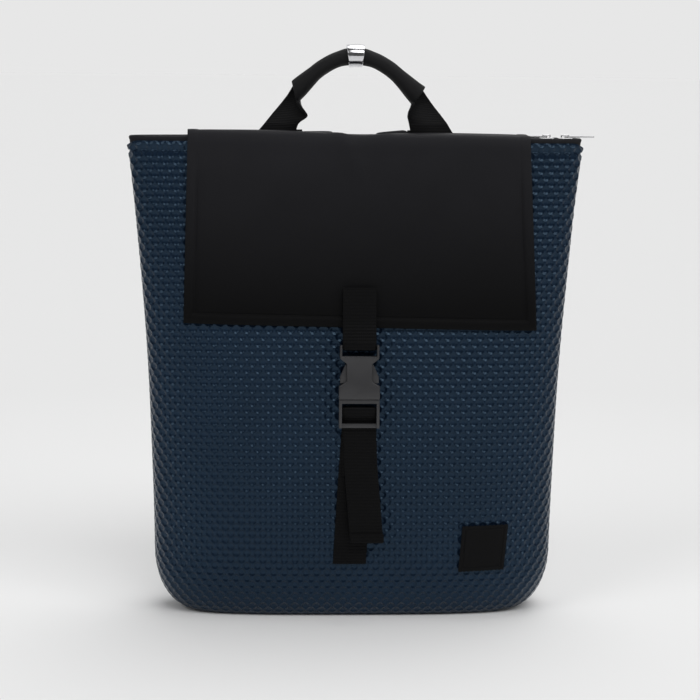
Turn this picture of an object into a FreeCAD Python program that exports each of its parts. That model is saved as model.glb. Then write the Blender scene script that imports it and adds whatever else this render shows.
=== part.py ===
import FreeCAD, Part
import Sketcher
import math
import os
from FreeCAD import Placement, Rotation, Vector

# Flap backpack. The front faces -Y, +X is on the viewer's right, +Z is up, and the origin is
# the middle of the flat base. Lengths are millimetres. "Offset" means distance out of the bag.

doc = FreeCAD.newDocument("FlapBackpack")
sheet = doc.addObject("Spreadsheet::Sheet", "Sizes")

SIZES = {
    # bag form: rounded sections, wide and thin at the zip, deep at the base
    "bagHeight": 362,
    "topHalfWidth": 169.7,
    "lowHalfWidth": 151,
    "topHalfDepth": 17,
    "frontBulge": 27,
    "backBulge": 17,
    "baseRound": 48,
    "baseInsetX": 32,
    "baseInsetY": 18,
    "hideThick": 1.6,
    "liningThick": 0.8,
    "boardThick": 2.5,
    "boardInset": 6,
    "fabricGap": 0.3,
    # zip along the top
    "zipDrop": 1,
    "tapeThick": 0.8,
    "zipEndInset": 9.7,
    "toothPitch": 3,
    "toothWidth": 1.25,
    "toothMesh": 0.7,
    "beadInner": 1,
    "beadOuter": 1.7,
    "toothHeight": 1.8,
    "stopLength": 2.5,
    "sliderLength": 10.5,
    "sliderHalfWidth": 4.2,
    "sliderPlate": 1,
    "zipClear": 0.3,
    "flangeWidth": 0.9,
    "bridgeHalf": 3.2,
    "bridgeLeg": 1,
    "bridgeHalfWidth": 0.8,
    "beamThick": 0.8,
    "innerSliderInset": 26.2,
    "outerSliderInset": 12.2,
    "innerPull": 14,
    "outerPull": 22,
    "pullThick": 1.1,
    "pullHalfWidth": 2.5,
    "eyeHalfWidth": 1,
    "eyeEnd": 4.2,
    "pullClear": 0.2,
    # flap
    "flapX": 2,
    "flapHalfTop": 125.8,
    "flapHalfLow": 130.6,
    "flapLength": 139.3,
    "flapClear": 0.7,
    "flapLiningThick": 0.7,
    "flapOuterThick": 1.4,
    "layerGap": 0.2,
    "hemWidth": 4.5,
    "hemProud": 0.6,
    "lidThick": 1.8,
    "lidRise": 4.4,
    "lidPivotRise": 1,
    "lidPivotOut": 1.4,
    "lidBeadRadius": 1,
    "foldDrop": 3.6,
    "foldOut": 2.6,
    "seamTabDrop": 24,
    "seamTabThick": 2.2,
    # webbing and side-release buckle on the front
    "strapX": 2.3,
    "webWidth": 25,
    "webThick": 1.3,
    "webAboveHem": 30.3,
    "buckleOut": 6.4,
    "mouthBelowHem": 52.4,
    "socketLength": 40.5,
    "socketThick": 9,
    "bandHalf": 15.2,
    "bandHeight": 10,
    "neckHalf": 9.4,
    "neckLow": 13.6,
    "neckHigh": 26.5,
    "frameHalf": 14.6,
    "frameLow": 30.5,
    "frameBarHalf": 1.3,
    "slotLow": 32.2,
    "slotHigh": 37.8,
    "slotHalf": 12.9,
    "cavityHalf": 13,
    "cavityReach": 2.5,
    "cavityHigh": 29,
    "buckleGap": 0.3,
    "plugLength": 21.4,
    "plugHalf": 15,
    "plugHead": 3,
    "plugThick": 7.6,
    "barHigh": 7,
    "barLow": 9.5,
    "barThick": 2,
    "lowBarHigh": 18.2,
    "lowBarThick": 2.6,
    "barHold": 14,
    "guideHalf": 2.4,
    "guideHigh": 20,
    "armThick": 4.4,
    "armRootIn": 6.9,
    "armRootOut": 9.5,
    "armRootLow": 0.2,
    "armWaistOut": 10.6,
    "barbLow": 12,
    "barbOut": 14.4,
    "barbHigh": 17,
    "armTipHigh": 26,
    "armTipOut": 10.4,
    "armTipIn": 8.6,
    "tailEndHigh": 62.6,
    "tailBend": 28.3,
    "tailStep": 39.4,
    "tailRearBelowMouth": 58.3,
    "lowerWebBelowMouth": 24.3,
    "webAnchorHigh": 45.8,
    "hemFold": 7,
    # label patch
    "patchSize": 35,
    "patchInset": 53.6,
    "patchZ": 55.6,
    "patchThick": 0.8,
    # handle
    "handleTabDrop": 40,
    "handleTabOut": 4,
    "tabThick": 1.4,
    "handleX": 56,
    "handleWeb": 32,
    "handlePivotOut": 4.7,
    "handlePivotRise": 6,
    "handleBead": 1,
    "gripRadius": 52,
    "gripHalfAngle": 57,
    "gripHigh": 7.2,
    "gripWide": 8.6,
    "sleeveThick": 1.4,
    "archRise": 60.5,
    "clipWidth": 12,
    "clipThick": 1.2,
    # back
    "padThick": 5,
    "padHalfWidth": 80,
    "padLow": 62,
    "padDrop": 46,
    "shoulderOut": 5.9,
    "shoulderThick": 8,
    "shoulderRise": 4,
    "shoulderTopX": 29,
    "shoulderTopWidth": 50,
    "shoulderEndX": 84,
    "shoulderEndZ": 118,
    "shoulderEndWidth": 38,
    "anchorInset": 33,
    "anchorZ": 34,
    "anchorLength": 22,
    "anchorOut": 1.4,
    "anchorThick": 1,
    "adjusterHalf": 15.2,
    "adjusterSlot": 5,
    "adjusterBar": 2.4,
    "adjusterThick": 3.6,
    "adjusterDrop": 9,
}
for row, (alias, value) in enumerate(SIZES.items(), start=1):
    sheet.set(f"A{row}", alias)
    sheet.set(f"B{row}", str(value))
    sheet.setAlias(f"B{row}", alias)
doc.recompute()
cell = {alias: float(sheet.get(alias)) for alias in SIZES}

height = cell["bagHeight"]
thick = cell["hideThick"]
gap = cell["fabricGap"]


def add_node(label, shape):
    """A sub-part made by Part's own functions."""
    feature = doc.addObject("Part::Feature", label)
    feature.Label = label
    feature.Shape = shape
    return feature


def mirrored(shape):
    return shape.mirror(Vector(0, 0, 0), Vector(1, 0, 0))


def add_pair(name, shape):
    """The right-hand piece and its mirror image on the left."""
    add_node(f"{name}_right", shape)
    add_node(f"{name}_left", mirrored(shape))


# ---------------------------------------------------------------- bag form

SQUARE_TOP, SQUARE_FRONT, SQUARE_BACK = 5.0, 3.4, 5.0  # how square the plan section is
SIDE_FLARE, BULGE_SHAPE = 2.2, 1.8
HALF_POINTS = 25
FINE_STEPS, SIDE_WEIGHT = 800, 3.0


def form(z, offset=0.0):
    """Half width, front depth, back depth and front squareness of the bag at height z."""
    rise = max(z + min(offset, 0.0), 0.0)
    share = min(rise / height, 1.0)
    half = cell["lowHalfWidth"] + (cell["topHalfWidth"] - cell["lowHalfWidth"]) * share**SIDE_FLARE
    swell = 1 - share**BULGE_SHAPE
    front = cell["topHalfDepth"] + cell["frontBulge"] * swell
    back = cell["topHalfDepth"] + cell["backBulge"] * swell
    below = max(0.0, 1 - rise / cell["baseRound"])
    turn = 1 - math.sqrt(1 - below**2)
    square = SQUARE_FRONT + (SQUARE_TOP - SQUARE_FRONT) * share**2
    half += offset - cell["baseInsetX"] * turn
    front += offset - cell["baseInsetY"] * turn
    back += offset - cell["baseInsetY"] * turn
    return half, front, back, square


def skin_y(z, x, offset, front=True):
    """Y of the bag's surface, moved outwards by an offset."""
    half, fore, aft, square = form(z, offset)
    depth, power = (-fore, square) if front else (aft, SQUARE_BACK)
    return depth * (1 - min(abs(x) / half, 1.0) ** power) ** (1 / power)


def half_curve(z, offset, front=True):
    """Half of the plan section, from the left side seam to the right one, evenly spaced."""
    half, fore, aft, square = form(z, offset)
    depth, power = (-fore, square) if front else (aft, SQUARE_BACK)
    fine = []
    for step in range(FINE_STEPS + 1):
        turn = math.pi * (1 - step / FINE_STEPS)
        x = half * math.copysign(abs(math.cos(turn)) ** (2 / power), math.cos(turn))
        fine.append(Vector(x, depth * abs(math.sin(turn)) ** (2 / power), z))
    lengths = [0.0]
    for a, b in zip(fine, fine[1:]):
        lengths.append(lengths[-1] + math.hypot(b.x - a.x, SIDE_WEIGHT * (b.y - a.y)))
    points = []
    place_on = 0
    for k in range(HALF_POINTS):
        goal = lengths[-1] * k / (HALF_POINTS - 1)
        while place_on < FINE_STEPS - 1 and lengths[place_on + 1] < goal:
            place_on += 1
        a, b = fine[place_on], fine[place_on + 1]
        share = (goal - lengths[place_on]) / (lengths[place_on + 1] - lengths[place_on])
        points.append(a + (b - a) * min(share, 1.0))
    points[0], points[-1] = Vector(-half, 0, z), Vector(half, 0, z)
    return points


def curve(points):
    spline = Part.BSplineCurve()
    spline.interpolate(points)
    return spline.toShape()


def line(a, b):
    return Part.LineSegment(a, b).toShape()


def band(outer, inner):
    """A closed wire between an outer and an inner run of points."""
    inner = inner[::-1]
    return Part.Wire(
        [curve(outer), line(outer[-1], inner[0]), curve(inner), line(inner[-1], outer[0])]
    )


def loft(wires, ruled=False):
    return Part.makeLoft(wires, True, ruled)


def graded(low, high, first, growth, largest=60.0):
    """Steps from one height to another that start small and grow, so a loft stays even."""
    steps = [first]
    while sum(steps) < abs(high - low):
        steps.append(min(steps[-1] * growth, largest))
    scale = (high - low) / sum(steps)
    levels = [low]
    for step in steps:
        levels.append(levels[-1] + step * scale)
    return levels


def rounding_levels(low, high):
    """Heights that follow the rounded base closely and the walls loosely."""
    bend = [cell["baseRound"] * (1 - math.cos(math.radians(15 * k))) for k in range(6)]
    wall = graded(cell["baseRound"], high, 13, 1.15)
    return [low] + [z for z in bend if z > low + 1.5] + wall


def half_shell(low, high, near, far, front=True):
    """One half of a shell that runs round the bag between two offsets."""
    levels = rounding_levels(low, high)
    return loft([band(half_curve(z, far, front), half_curve(z, near, front)) for z in levels])


def plan_face(z, offset):
    """The whole plan section at a height, as a flat face."""
    edges = [curve(half_curve(z, offset, True)), curve(half_curve(z, offset, False)[::-1])]
    return Part.Face(Part.Wire(edges))


def at(value, z):
    return value(z) if callable(value) else value


def wrap(levels, x0, x1, near, far, front=True, columns=9):
    """A sheet lying on the bag: X limits and offsets are numbers, or functions of height."""
    wires = []
    for z in levels:
        a, b = at(x0, z), at(x1, z)
        across = [a + (b - a) * k / (columns - 1) for k in range(columns)]
        outer = [Vector(x, skin_y(z, x, at(far, z), front), z) for x in across]
        inner = [Vector(x, skin_y(z, x, at(near, z), front), z) for x in across]
        wires.append(band(outer, inner))
    return loft(wires)


def spread(low, high, count):
    return [low + (high - low) * k / (count - 1) for k in range(count)]


def ribbon(path, radii, thickness, x0, x1):
    """Webbing: a run of straights and tangent arcs in YZ, given a thickness and a width."""
    points = [Vector(0, y, z) for y, z in path]
    half = thickness / 2
    runs = {1: [], -1: []}
    ends = []
    for sign, run in runs.items():
        cursor = None
        for k, here in enumerate(points):
            first, final = k == 0, k == len(points) - 1
            a = None if first else (here - points[k - 1]).normalize()
            b = None if final else (points[k + 1] - here).normalize()
            if first or final:
                d = b if first else a
                enter = leave = here + Vector(0, -d.z, d.y) * half * sign
                ends.append(enter)
                bend = None
            else:
                side = math.copysign(1, a.y * b.z - a.z * b.y)
                turn = a.getAngle(b)
                inward = (b - a).normalize()
                middle = here + inward * (radii[k] / math.cos(turn / 2))
                reach = radii[k] - half * sign * side
                enter = middle - Vector(0, -a.z, a.y) * side * reach
                leave = middle - Vector(0, -b.z, b.y) * side * reach
                bend = Part.Arc(enter, middle - inward * reach, leave).toShape()
            if cursor is not None and (enter - cursor).Length > 1e-6:
                run.append(line(cursor, enter))
            if bend is not None:
                run.append(bend)
            cursor = leave
    edges = runs[1] + runs[-1] + [line(ends[0], ends[2]), line(ends[1], ends[3])]
    face = Part.Face(Part.Wire(Part.__sortEdges__(edges)))
    face.translate(Vector(x0, 0, 0))
    return face.extrude(Vector(x1 - x0, 0, 0))


def box(x0, x1, y0, y1, z0, z1):
    return Part.makeBox(x1 - x0, y1 - y0, z1 - z0, Vector(x0, y0, z0))


# ------------------------------------------------------ shells, base, lining

add_node("front_shell", half_shell(thick, height, -thick, 0.0))
add_node("back_shell", half_shell(thick, height, -thick, 0.0, front=False))
panel_wires = []
for z in (0.0, thick):
    halves = [curve(half_curve(z, 0.0)), curve(half_curve(z, 0.0, False)[::-1])]
    panel_wires.append(Part.Wire(halves))
add_node("base_panel", loft(panel_wires, ruled=True))

board_low = thick + gap
board = plan_face(0.0, -cell["boardInset"])
board.translate(Vector(0, 0, board_low))
add_node("base_board", board.extrude(Vector(0, 0, cell["boardThick"])))

tape_top = height - cell["zipDrop"]
tape_low = tape_top - cell["tapeThick"]
tape_mid = (tape_top + tape_low) / 2
lining_out = thick + gap
lining_in = lining_out + cell["liningThick"]
floor_low = board_low + cell["boardThick"] + gap
floor_high = floor_low + cell["liningThick"]
lining_high = tape_low - 4
add_node("lining_front", half_shell(floor_high, lining_high, -lining_in, -lining_out))
add_node("lining_back", half_shell(floor_high, lining_high, -lining_in, -lining_out, front=False))
add_node("lining_floor", plan_face(floor_low, -lining_out).extrude(Vector(0, 0, cell["liningThick"])))

# --------------------------------------------------------------------- zip

tape_form = plan_face(tape_mid, -lining_out)
tape_form.translate(Vector(0, 0, tape_low - tape_mid))
tape = tape_form.extrude(Vector(0, 0, cell["tapeThick"]))
reach = cell["topHalfWidth"] + 10
zip_half = cell["topHalfWidth"] - cell["zipEndInset"]
bead = cell["beadOuter"]
add_node("zip_tape_front", tape.common(box(-reach, reach, -reach, -bead, 0, height)))
add_node("zip_tape_back", tape.common(box(-reach, reach, bead, reach, 0, height)))

tooth_low = tape_mid - cell["toothHeight"] / 2
tooth_high = tape_mid + cell["toothHeight"] / 2


def comb(side, shift):
    """One row of zip teeth with the bead that holds them, as a single toothed outline."""
    tip, root, edge = cell["toothMesh"], -cell["beadInner"], -cell["beadOuter"]
    half, wide = zip_half, cell["toothWidth"] / 2
    points = [(-half, edge), (-half, root)]
    count = int(2 * half / cell["toothPitch"]) - 1
    for k in range(count):
        x = -half + (k + 0.6 + shift) * cell["toothPitch"]
        points += [(x - wide, root), (x - wide, tip), (x + wide, tip), (x + wide, root)]
    points += [(half, root), (half, edge)]
    outline = [Vector(x, y * side, tooth_low) for x, y in points]
    face = Part.Face(Part.makePolygon(outline + outline[:1]))
    return face.extrude(Vector(0, 0, cell["toothHeight"]))


add_node("zip_teeth_front", comb(1, 0.0))
add_node("zip_teeth_back", comb(-1, 0.5))
stop_end = zip_half + cell["stopLength"]
add_pair("zip_stop", box(zip_half, stop_end, -bead, bead, tooth_low, tooth_high))

# -------------------------------------------------------- bodies with sketches


def reckon(text):
    """A size written as names and numbers joined by + and -, and the same for the sheet."""
    total, sign, words = 0.0, 1, []
    for word in text.split():
        if word in ("+", "-"):
            sign = 1 if word == "+" else -1
            words.append(word)
            continue
        name = word[1:] if word.startswith("-") else word
        flip = -1 if word.startswith("-") else 1
        total += sign * flip * (cell[name] if name in cell else float(name))
        prefix = "-" if flip < 0 else ""
        words.append(f"{prefix}Sizes.{name}" if name in cell else word)
        sign = 1
    return total, " ".join(words)


def origin_plane(body, role):
    return next(item for item in body.Origin.OriginFeatures if item.Role == role)


def pin(sketch, kind, axis, geometry, vertex, text):
    """Hold one coordinate of a sketch point to a size from the sheet."""
    value, words = reckon(text)
    if abs(value) < 1e-9:
        sketch.addConstraint(Sketcher.Constraint("PointOnObject", geometry, vertex, axis))
        return
    if value > 0:
        held = Sketcher.Constraint(kind, -1, 1, geometry, vertex, value)
    else:
        held = Sketcher.Constraint(kind, geometry, vertex, -1, 1, -value)
        words = f"-({words})"
    index = sketch.addConstraint(held)
    sketch.setExpression(f"Constraints[{index}]", words)


def outline_sketch(body, role, loops, label):
    """A sketch of closed outlines, every corner held to the sheet."""
    sketch = body.newObject("Sketcher::SketchObject", label)
    sketch.AttachmentSupport = (origin_plane(body, role), [""])
    sketch.MapMode = "FlatFace"
    for corners in loops:
        spots = [Vector(reckon(u)[0], reckon(v)[0], 0) for u, v in corners]
        count = len(spots)
        first = sketch.GeometryCount
        for k in range(count):
            sketch.addGeometry(Part.LineSegment(spots[k], spots[(k + 1) % count]), False)
        for k in range(count):
            after = first + (k + 1) % count
            sketch.addConstraint(Sketcher.Constraint("Coincident", first + k, 2, after, 1))
        for k, (u, v) in enumerate(corners):
            pin(sketch, "DistanceX", -2, first + k, 1, u)
            pin(sketch, "DistanceY", -1, first + k, 1, v)
    return sketch


def circle_sketch(body, role, radius, label):
    sketch = body.newObject("Sketcher::SketchObject", label)
    sketch.AttachmentSupport = (origin_plane(body, role), [""])
    sketch.MapMode = "FlatFace"
    value, words = reckon(radius)
    sketch.addGeometry(Part.Circle(Vector(0, 0, 0), Vector(0, 0, 1), value / 2), False)
    sketch.addConstraint(Sketcher.Constraint("Coincident", 0, 3, -1, 1))
    index = sketch.addConstraint(Sketcher.Constraint("Diameter", 0, value))
    sketch.setExpression(f"Constraints[{index}]", words)
    return sketch


def pad(body, sketch, length, symmetric=True, reverse=False):
    feature = body.newObject("PartDesign::Pad", f"{sketch.Name}_pad")
    feature.Profile = sketch
    feature.setExpression("Length", reckon(length)[1])
    if symmetric:
        feature.SideType = "Symmetric"
    feature.Reversed = reverse
    sketch.Visibility = False
    doc.recompute()
    return feature


def pocket(body, sketch, length=None, reverse=False, symmetric=False):
    """A cut, checked to have taken material away."""
    before = body.Shape.Volume
    feature = body.newObject("PartDesign::Pocket", f"{sketch.Name}_pocket")
    feature.Profile = sketch
    if length is None:
        feature.Type = "ThroughAll"
        feature.SideType = "Symmetric"
    else:
        feature.setExpression("Length", reckon(length)[1])
        if symmetric:
            feature.SideType = "Symmetric"
    feature.Reversed = reverse
    sketch.Visibility = False
    doc.recompute()
    if body.Shape.Volume >= before - 1e-6:
        raise RuntimeError(f"{sketch.Name} cut nothing")
    return feature


def new_body(label):
    body = doc.addObject("PartDesign::Body", label)
    body.Label = label
    return body


def block(x0, x1, y0, y1):
    return [(x0, y0), (x1, y0), (x1, y1), (x0, y1)]


def place(body, offset, tilt=0.0, turn=0.0):
    body.Placement = Placement(offset, Rotation(turn, 0, tilt))


# ------------------------------------------------------------- zip sliders

plate_low = tooth_high + cell["zipClear"]
plate_high = plate_low + cell["sliderPlate"]
pull_z = plate_high + cell["pullClear"] + cell["pullThick"] / 2
window = 2 * cell["pullClear"] + cell["pullThick"]
bridge_high = plate_high + window + cell["beamThick"]


def slider(label, x):
    """The slider's upper plate with its side flanges and the loop that holds the pull."""
    body = new_body(label)
    half_length = "sliderEnd"
    plate = outline_sketch(
        body,
        "XY_Plane",
        [block("-" + half_length, half_length, "-sliderHalfWidth", "sliderHalfWidth")],
        f"{label}_plate",
    )
    pad(body, plate, "sliderPlate", symmetric=False)
    for name, low, high in (
        ("front", "-sliderHalfWidth", "-sliderHalfWidth + flangeWidth"),
        ("back", "sliderHalfWidth - flangeWidth", "sliderHalfWidth"),
    ):
        flange = outline_sketch(
            body, "XY_Plane", [block("-" + half_length, half_length, low, high)], f"{label}_{name}"
        )
        pad(body, flange, "flangeDrop", symmetric=False, reverse=True)
    arch = outline_sketch(
        body,
        "XZ_Plane",
        [
            block("-bridgeHalf", "bridgeHalf", "sliderPlate - bridgeSink", "bridgeTop"),
            block("-bridgeInner", "bridgeInner", "sliderPlate", "bridgeTop - beamThick"),
        ],
        f"{label}_loop",
    )
    pad(body, arch, "bridgeHalfWidth + bridgeHalfWidth")
    place(body, Vector(x, 0, plate_low))


def pull(label, x, length, turn):
    """A flat pull with an eye; its round bar lies inside the slider's loop."""
    body = new_body(label)
    tab = outline_sketch(
        body,
        "XY_Plane",
        [
            [
                ("0", "-pullHalfWidth"),
                (f"{length} - pullNose", "-pullHalfWidth"),
                (length, "-pullHalfWidth + pullNose"),
                (length, "pullHalfWidth - pullNose"),
                (f"{length} - pullNose", "pullHalfWidth"),
                ("0", "pullHalfWidth"),
            ],
            block("eyeStart", "eyeEnd", "-eyeHalfWidth", "eyeHalfWidth"),
        ],
        f"{label}_tab",
    )
    pad(body, tab, "pullThick")
    bar = circle_sketch(body, "XZ_Plane", "pullThick", f"{label}_bar")
    pad(body, bar, "pullHalfWidth + pullHalfWidth")
    place(body, Vector(x, 0, pull_z), turn=turn)


DERIVED = {
    "sliderEnd": cell["sliderLength"] / 2,
    "flangeDrop": plate_low - tape_top - cell["zipClear"],
    "bridgeSink": 0.2,
    "bridgeTop": bridge_high - plate_low,
    "bridgeInner": cell["bridgeHalf"] - cell["bridgeLeg"],
    "eyeStart": 0.4,
    "pullNose": 1,
}
for row, (alias, value) in enumerate(DERIVED.items(), start=len(SIZES) + 2):
    sheet.set(f"A{row}", alias)
    sheet.set(f"B{row}", f"{value:.4f}")
    sheet.setAlias(f"B{row}", alias)
doc.recompute()
cell.update({alias: float(sheet.get(alias)) for alias in DERIVED})

under_high = tooth_low - cell["zipClear"]
under_low = under_high - cell["sliderPlate"]
slider_end, slider_half = cell["sliderEnd"], cell["sliderHalfWidth"]
for side, turn in (("inner", 180), ("outer", 0)):
    x = cell["topHalfWidth"] - cell[f"{side}SliderInset"]
    slider(f"zip_slider_{side}", x)
    pull(f"zip_pull_{side}", x, f"{side}Pull", turn)
    plate = box(x - slider_end, x + slider_end, -slider_half, slider_half, under_low, under_high)
    add_node(f"zip_slider_under_{side}", plate)

# -------------------------------------------------------------------- flap

flap_x = cell["flapX"]
pivot_y = cell["topHalfDepth"] + cell["lidPivotOut"]
pivot_z = height + cell["lidPivotRise"]
fold_y = -cell["topHalfDepth"] - cell["foldOut"]
fold_z = height - cell["foldDrop"]
lid_z = height + cell["lidRise"]
lid_half = cell["flapHalfTop"]
lid_path = [
    (pivot_y, pivot_z),
    (pivot_y - (lid_z - pivot_z) / math.tan(math.radians(30)), lid_z),
    (fold_y + 0.7, lid_z),
    (fold_y, fold_z),
]
lid = ribbon(lid_path, [0, 8, 5, 0], cell["lidThick"], flap_x - lid_half, flap_x + lid_half)
for y, z in (lid_path[0], lid_path[-1]):
    start = Vector(flap_x - lid_half, y, z)
    lid = lid.fuse(Part.makeCylinder(cell["lidBeadRadius"], 2 * lid_half, start, Vector(1, 0, 0)))
add_node("flap_lid", lid)

seam_top = pivot_z - cell["lidBeadRadius"] - gap
seam_levels = spread(height - cell["seamTabDrop"], seam_top, 3)
add_node(
    "flap_seam_tab",
    wrap(seam_levels, flap_x - lid_half, flap_x + lid_half, gap, gap + cell["seamTabThick"], False),
)

flap_top = fold_z - cell["lidBeadRadius"] - gap
flap_low = height - cell["flapLength"]
hem = cell["hemWidth"]


def flap_half(z):
    share = (flap_top - z) / (flap_top - flap_low)
    return cell["flapHalfTop"] + (cell["flapHalfLow"] - cell["flapHalfTop"]) * share


lining_far = cell["flapClear"] + cell["flapLiningThick"]
outer_near = lining_far + cell["layerGap"]
outer_far = outer_near + cell["flapOuterThick"]
flap_levels = spread(flap_low + hem, flap_top, 5)


def flap_left(z):
    return flap_x - flap_half(z)


def flap_right(z):
    return flap_x + flap_half(z)


def inside_left(z):
    return flap_left(z) + hem


def inside_right(z):
    return flap_right(z) - hem


add_node("flap_front", wrap(flap_levels, inside_left, inside_right, outer_near, outer_far))
add_node("flap_lining", wrap(flap_levels, inside_left, inside_right, cell["flapClear"], lining_far))
hem_far = outer_far + cell["hemProud"]
hem_near = cell["flapClear"]
hem_side = wrap(flap_levels, inside_right, flap_right, hem_near, hem_far, columns=3)
hem_other = wrap(flap_levels, flap_left, inside_left, hem_near, hem_far, columns=3)
hem_low = wrap([flap_low, flap_low + hem], flap_left, flap_right, hem_near, hem_far)
add_node("flap_hem_left", hem_other)
add_node("flap_hem_right", hem_side)
add_node("flap_hem_low", hem_low)

# ------------------------------------------------- webbing and buckle, front

strap_x = cell["strapX"]
web = cell["webThick"]
web_left = strap_x - cell["webWidth"] / 2
web_right = strap_x + cell["webWidth"] / 2
mouth_z = flap_low - cell["mouthBelowHem"]
mouth_y = skin_y(mouth_z, 0, cell["buckleOut"])
buckle_high, buckle_low = mouth_z + cell["socketLength"], mouth_z - cell["plugLength"]
leaning = skin_y(buckle_high, 0, 0) - skin_y(buckle_low, 0, 0)
tilt = math.atan2(leaning, buckle_high - buckle_low)
up_y, up_z = math.sin(tilt), math.cos(tilt)


def on_buckle(along, out):
    """YZ of a point measured along the buckle from its mouth, and outwards from its middle."""
    return mouth_y + along * up_y - out * up_z, mouth_z + along * up_z + out * up_y


def on_bag(z, offset):
    return skin_y(z, strap_x, offset), z


half_web = web / 2
bar_back = cell["frameBarHalf"] + gap + half_web
bar_under = cell["slotHigh"] - gap - half_web
upper_rear = hem_far + gap + half_web
upper_front = upper_rear + web + gap
web_top = flap_low + cell["webAboveHem"]
upper_path = [
    on_bag(web_top - 2, upper_rear),
    on_bag(flap_low + 2, upper_rear),
    on_buckle(cell["socketLength"], -bar_back),
    on_buckle(bar_under, -bar_back),
    on_buckle(bar_under, bar_back),
    on_buckle(cell["socketLength"] + 1, bar_back),
    on_bag(flap_low + 4, upper_front),
    on_bag(web_top, upper_front),
]
upper_radii = [0, 20, 20, 1.5, 1.5, 3, 6, 0]
add_node("upper_webbing", ribbon(upper_path, upper_radii, web, web_left, web_right))

web_levels = spread(cell["webAnchorHigh"], mouth_z - cell["lowerWebBelowMouth"], 5)
add_node("lower_webbing", wrap(web_levels, web_left, web_right, gap, gap + web, columns=3))

rear_leg = gap + web + gap + half_web
front_leg = rear_leg + web + 0.1
centre_back = cell["barThick"] / 2 + gap + half_web
over_bar = -(cell["barHigh"] - gap - half_web)
tail_end, tail_bend = cell["tailEndHigh"], mouth_z - cell["tailBend"]
bend_count = int((tail_bend - tail_end) / cell["tailStep"] - 0.25)
tail_levels = [tail_end + cell["tailStep"] * k for k in range(bend_count, 0, -1)]
folded_leg = front_leg + web + 0.15
tail_path = [
    on_bag(mouth_z - cell["tailRearBelowMouth"], rear_leg),
    on_buckle(-cell["lowBarHigh"] + 3, rear_leg - cell["buckleOut"]),
    on_buckle(-cell["barLow"] - 0.7, -centre_back),
    on_buckle(over_bar, -centre_back),
    on_buckle(over_bar, centre_back),
    on_buckle(-cell["barLow"] - 1.7, centre_back),
    on_buckle(-cell["lowBarHigh"] + 1.4, -bar_back),
    on_bag(tail_bend, front_leg),
    *[on_bag(z, front_leg) for z in tail_levels],
    on_bag(tail_end + half_web, front_leg),
    on_bag(tail_end + half_web, folded_leg),
    on_bag(tail_end + cell["hemFold"], folded_leg),
]
tail_radii = [0, 4, 3, 1.4, 1.4, 2, 2, 12] + [500] * bend_count + [0.7, 0.7, 0]
add_node("tail_webbing", ribbon(tail_path, tail_radii, web, web_left, web_right))

socket = new_body("buckle_socket")
half_outline = [
    ("bandHalf", "0"),
    ("bandHalf", "bandHeight"),
    ("neckHalf", "neckLow"),
    ("neckHalf", "neckHigh"),
    ("frameHalf", "frameLow"),
    ("frameHalf", "socketLength"),
]
other_half = [("-" + u, v) for u, v in half_outline[::-1]]
socket_face = outline_sketch(socket, "XZ_Plane", [half_outline + other_half], "socket_outline")
pad(socket, socket_face, "socketThick")
cavity = outline_sketch(
    socket,
    "XY_Plane",
    [block("-cavityHalf", "cavityHalf", "-cavityReach", "cavityReach")],
    "socket_cavity",
)
pocket(socket, cavity, "cavityHigh", reverse=True)
slot_corners = block("-slotHalf", "slotHalf", "slotLow", "slotHigh")
slot = outline_sketch(socket, "XZ_Plane", [slot_corners], "socket_slot")
pocket(socket, slot)
recess = outline_sketch(
    socket,
    "YZ_Plane",
    [
        block("frameBarHalf", "socketThick", "slotLow", "socketLength + 1"),
        block("-socketThick", "-frameBarHalf", "slotLow", "socketLength + 1"),
    ],
    "socket_bar_recess",
)
pocket(socket, recess, "slotHalf + slotHalf", symmetric=True)
buckle_origin = Vector(strap_x, mouth_y, mouth_z)
buckle_tilt = -math.degrees(tilt)
place(socket, buckle_origin, tilt=buckle_tilt)

plug = new_body("plug_frame")
frame_outline = [
    ("-plugHalf", "-plugLength"),
    ("-slotHalf", "-plugLength"),
    ("-slotHalf", "-plugHead"),
    ("slotHalf", "-plugHead"),
    ("slotHalf", "-plugLength"),
    ("plugHalf", "-plugLength"),
    ("plugHalf", "-buckleGap"),
    ("-plugHalf", "-buckleGap"),
]
for name, corners, depth in (
    ("outline", frame_outline, "plugThick"),
    ("bar", block("-barHold", "barHold", "-barLow", "-barHigh"), "barThick"),
    ("low_bar", block("-barHold", "barHold", "-plugLength", "-lowBarHigh"), "lowBarThick"),
    ("guide", block("-guideHalf", "guideHalf", "-1", "guideHigh"), "armThick"),
):
    pad(plug, outline_sketch(plug, "XZ_Plane", [corners], f"plug_{name}"), depth)
place(plug, buckle_origin, tilt=buckle_tilt)

for side, flip in (("right", ""), ("left", "-")):
    arm = new_body(f"plug_arm_{side}")
    corners = [
        ("armRootIn", "armRootLow"),
        ("armRootOut", "armRootLow"),
        ("armWaistOut", "barbLow"),
        ("barbOut", "barbLow"),
        ("barbOut", "barbHigh"),
        ("armTipOut", "armTipHigh"),
        ("armTipIn", "armTipHigh"),
        ("armTipIn", "barbHigh"),
    ]
    corners = [(flip + u, v) for u, v in corners]
    pad(arm, outline_sketch(arm, "XZ_Plane", [corners], f"arm_{side}_outline"), "armThick")
    place(arm, buckle_origin, tilt=buckle_tilt)

# ------------------------------------------------------------- label patch

patch_half = cell["patchSize"] / 2
patch_levels = spread(cell["patchZ"] - patch_half, cell["patchZ"] + patch_half, 3)
patch_x = cell["lowHalfWidth"] - cell["patchInset"]
patch_left, patch_right = patch_x - patch_half, patch_x + patch_half
patch_far = gap + cell["patchThick"]
add_node("label_patch", wrap(patch_levels, patch_left, patch_right, gap, patch_far, columns=5))

# ------------------------------------------------------------------ handle

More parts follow.
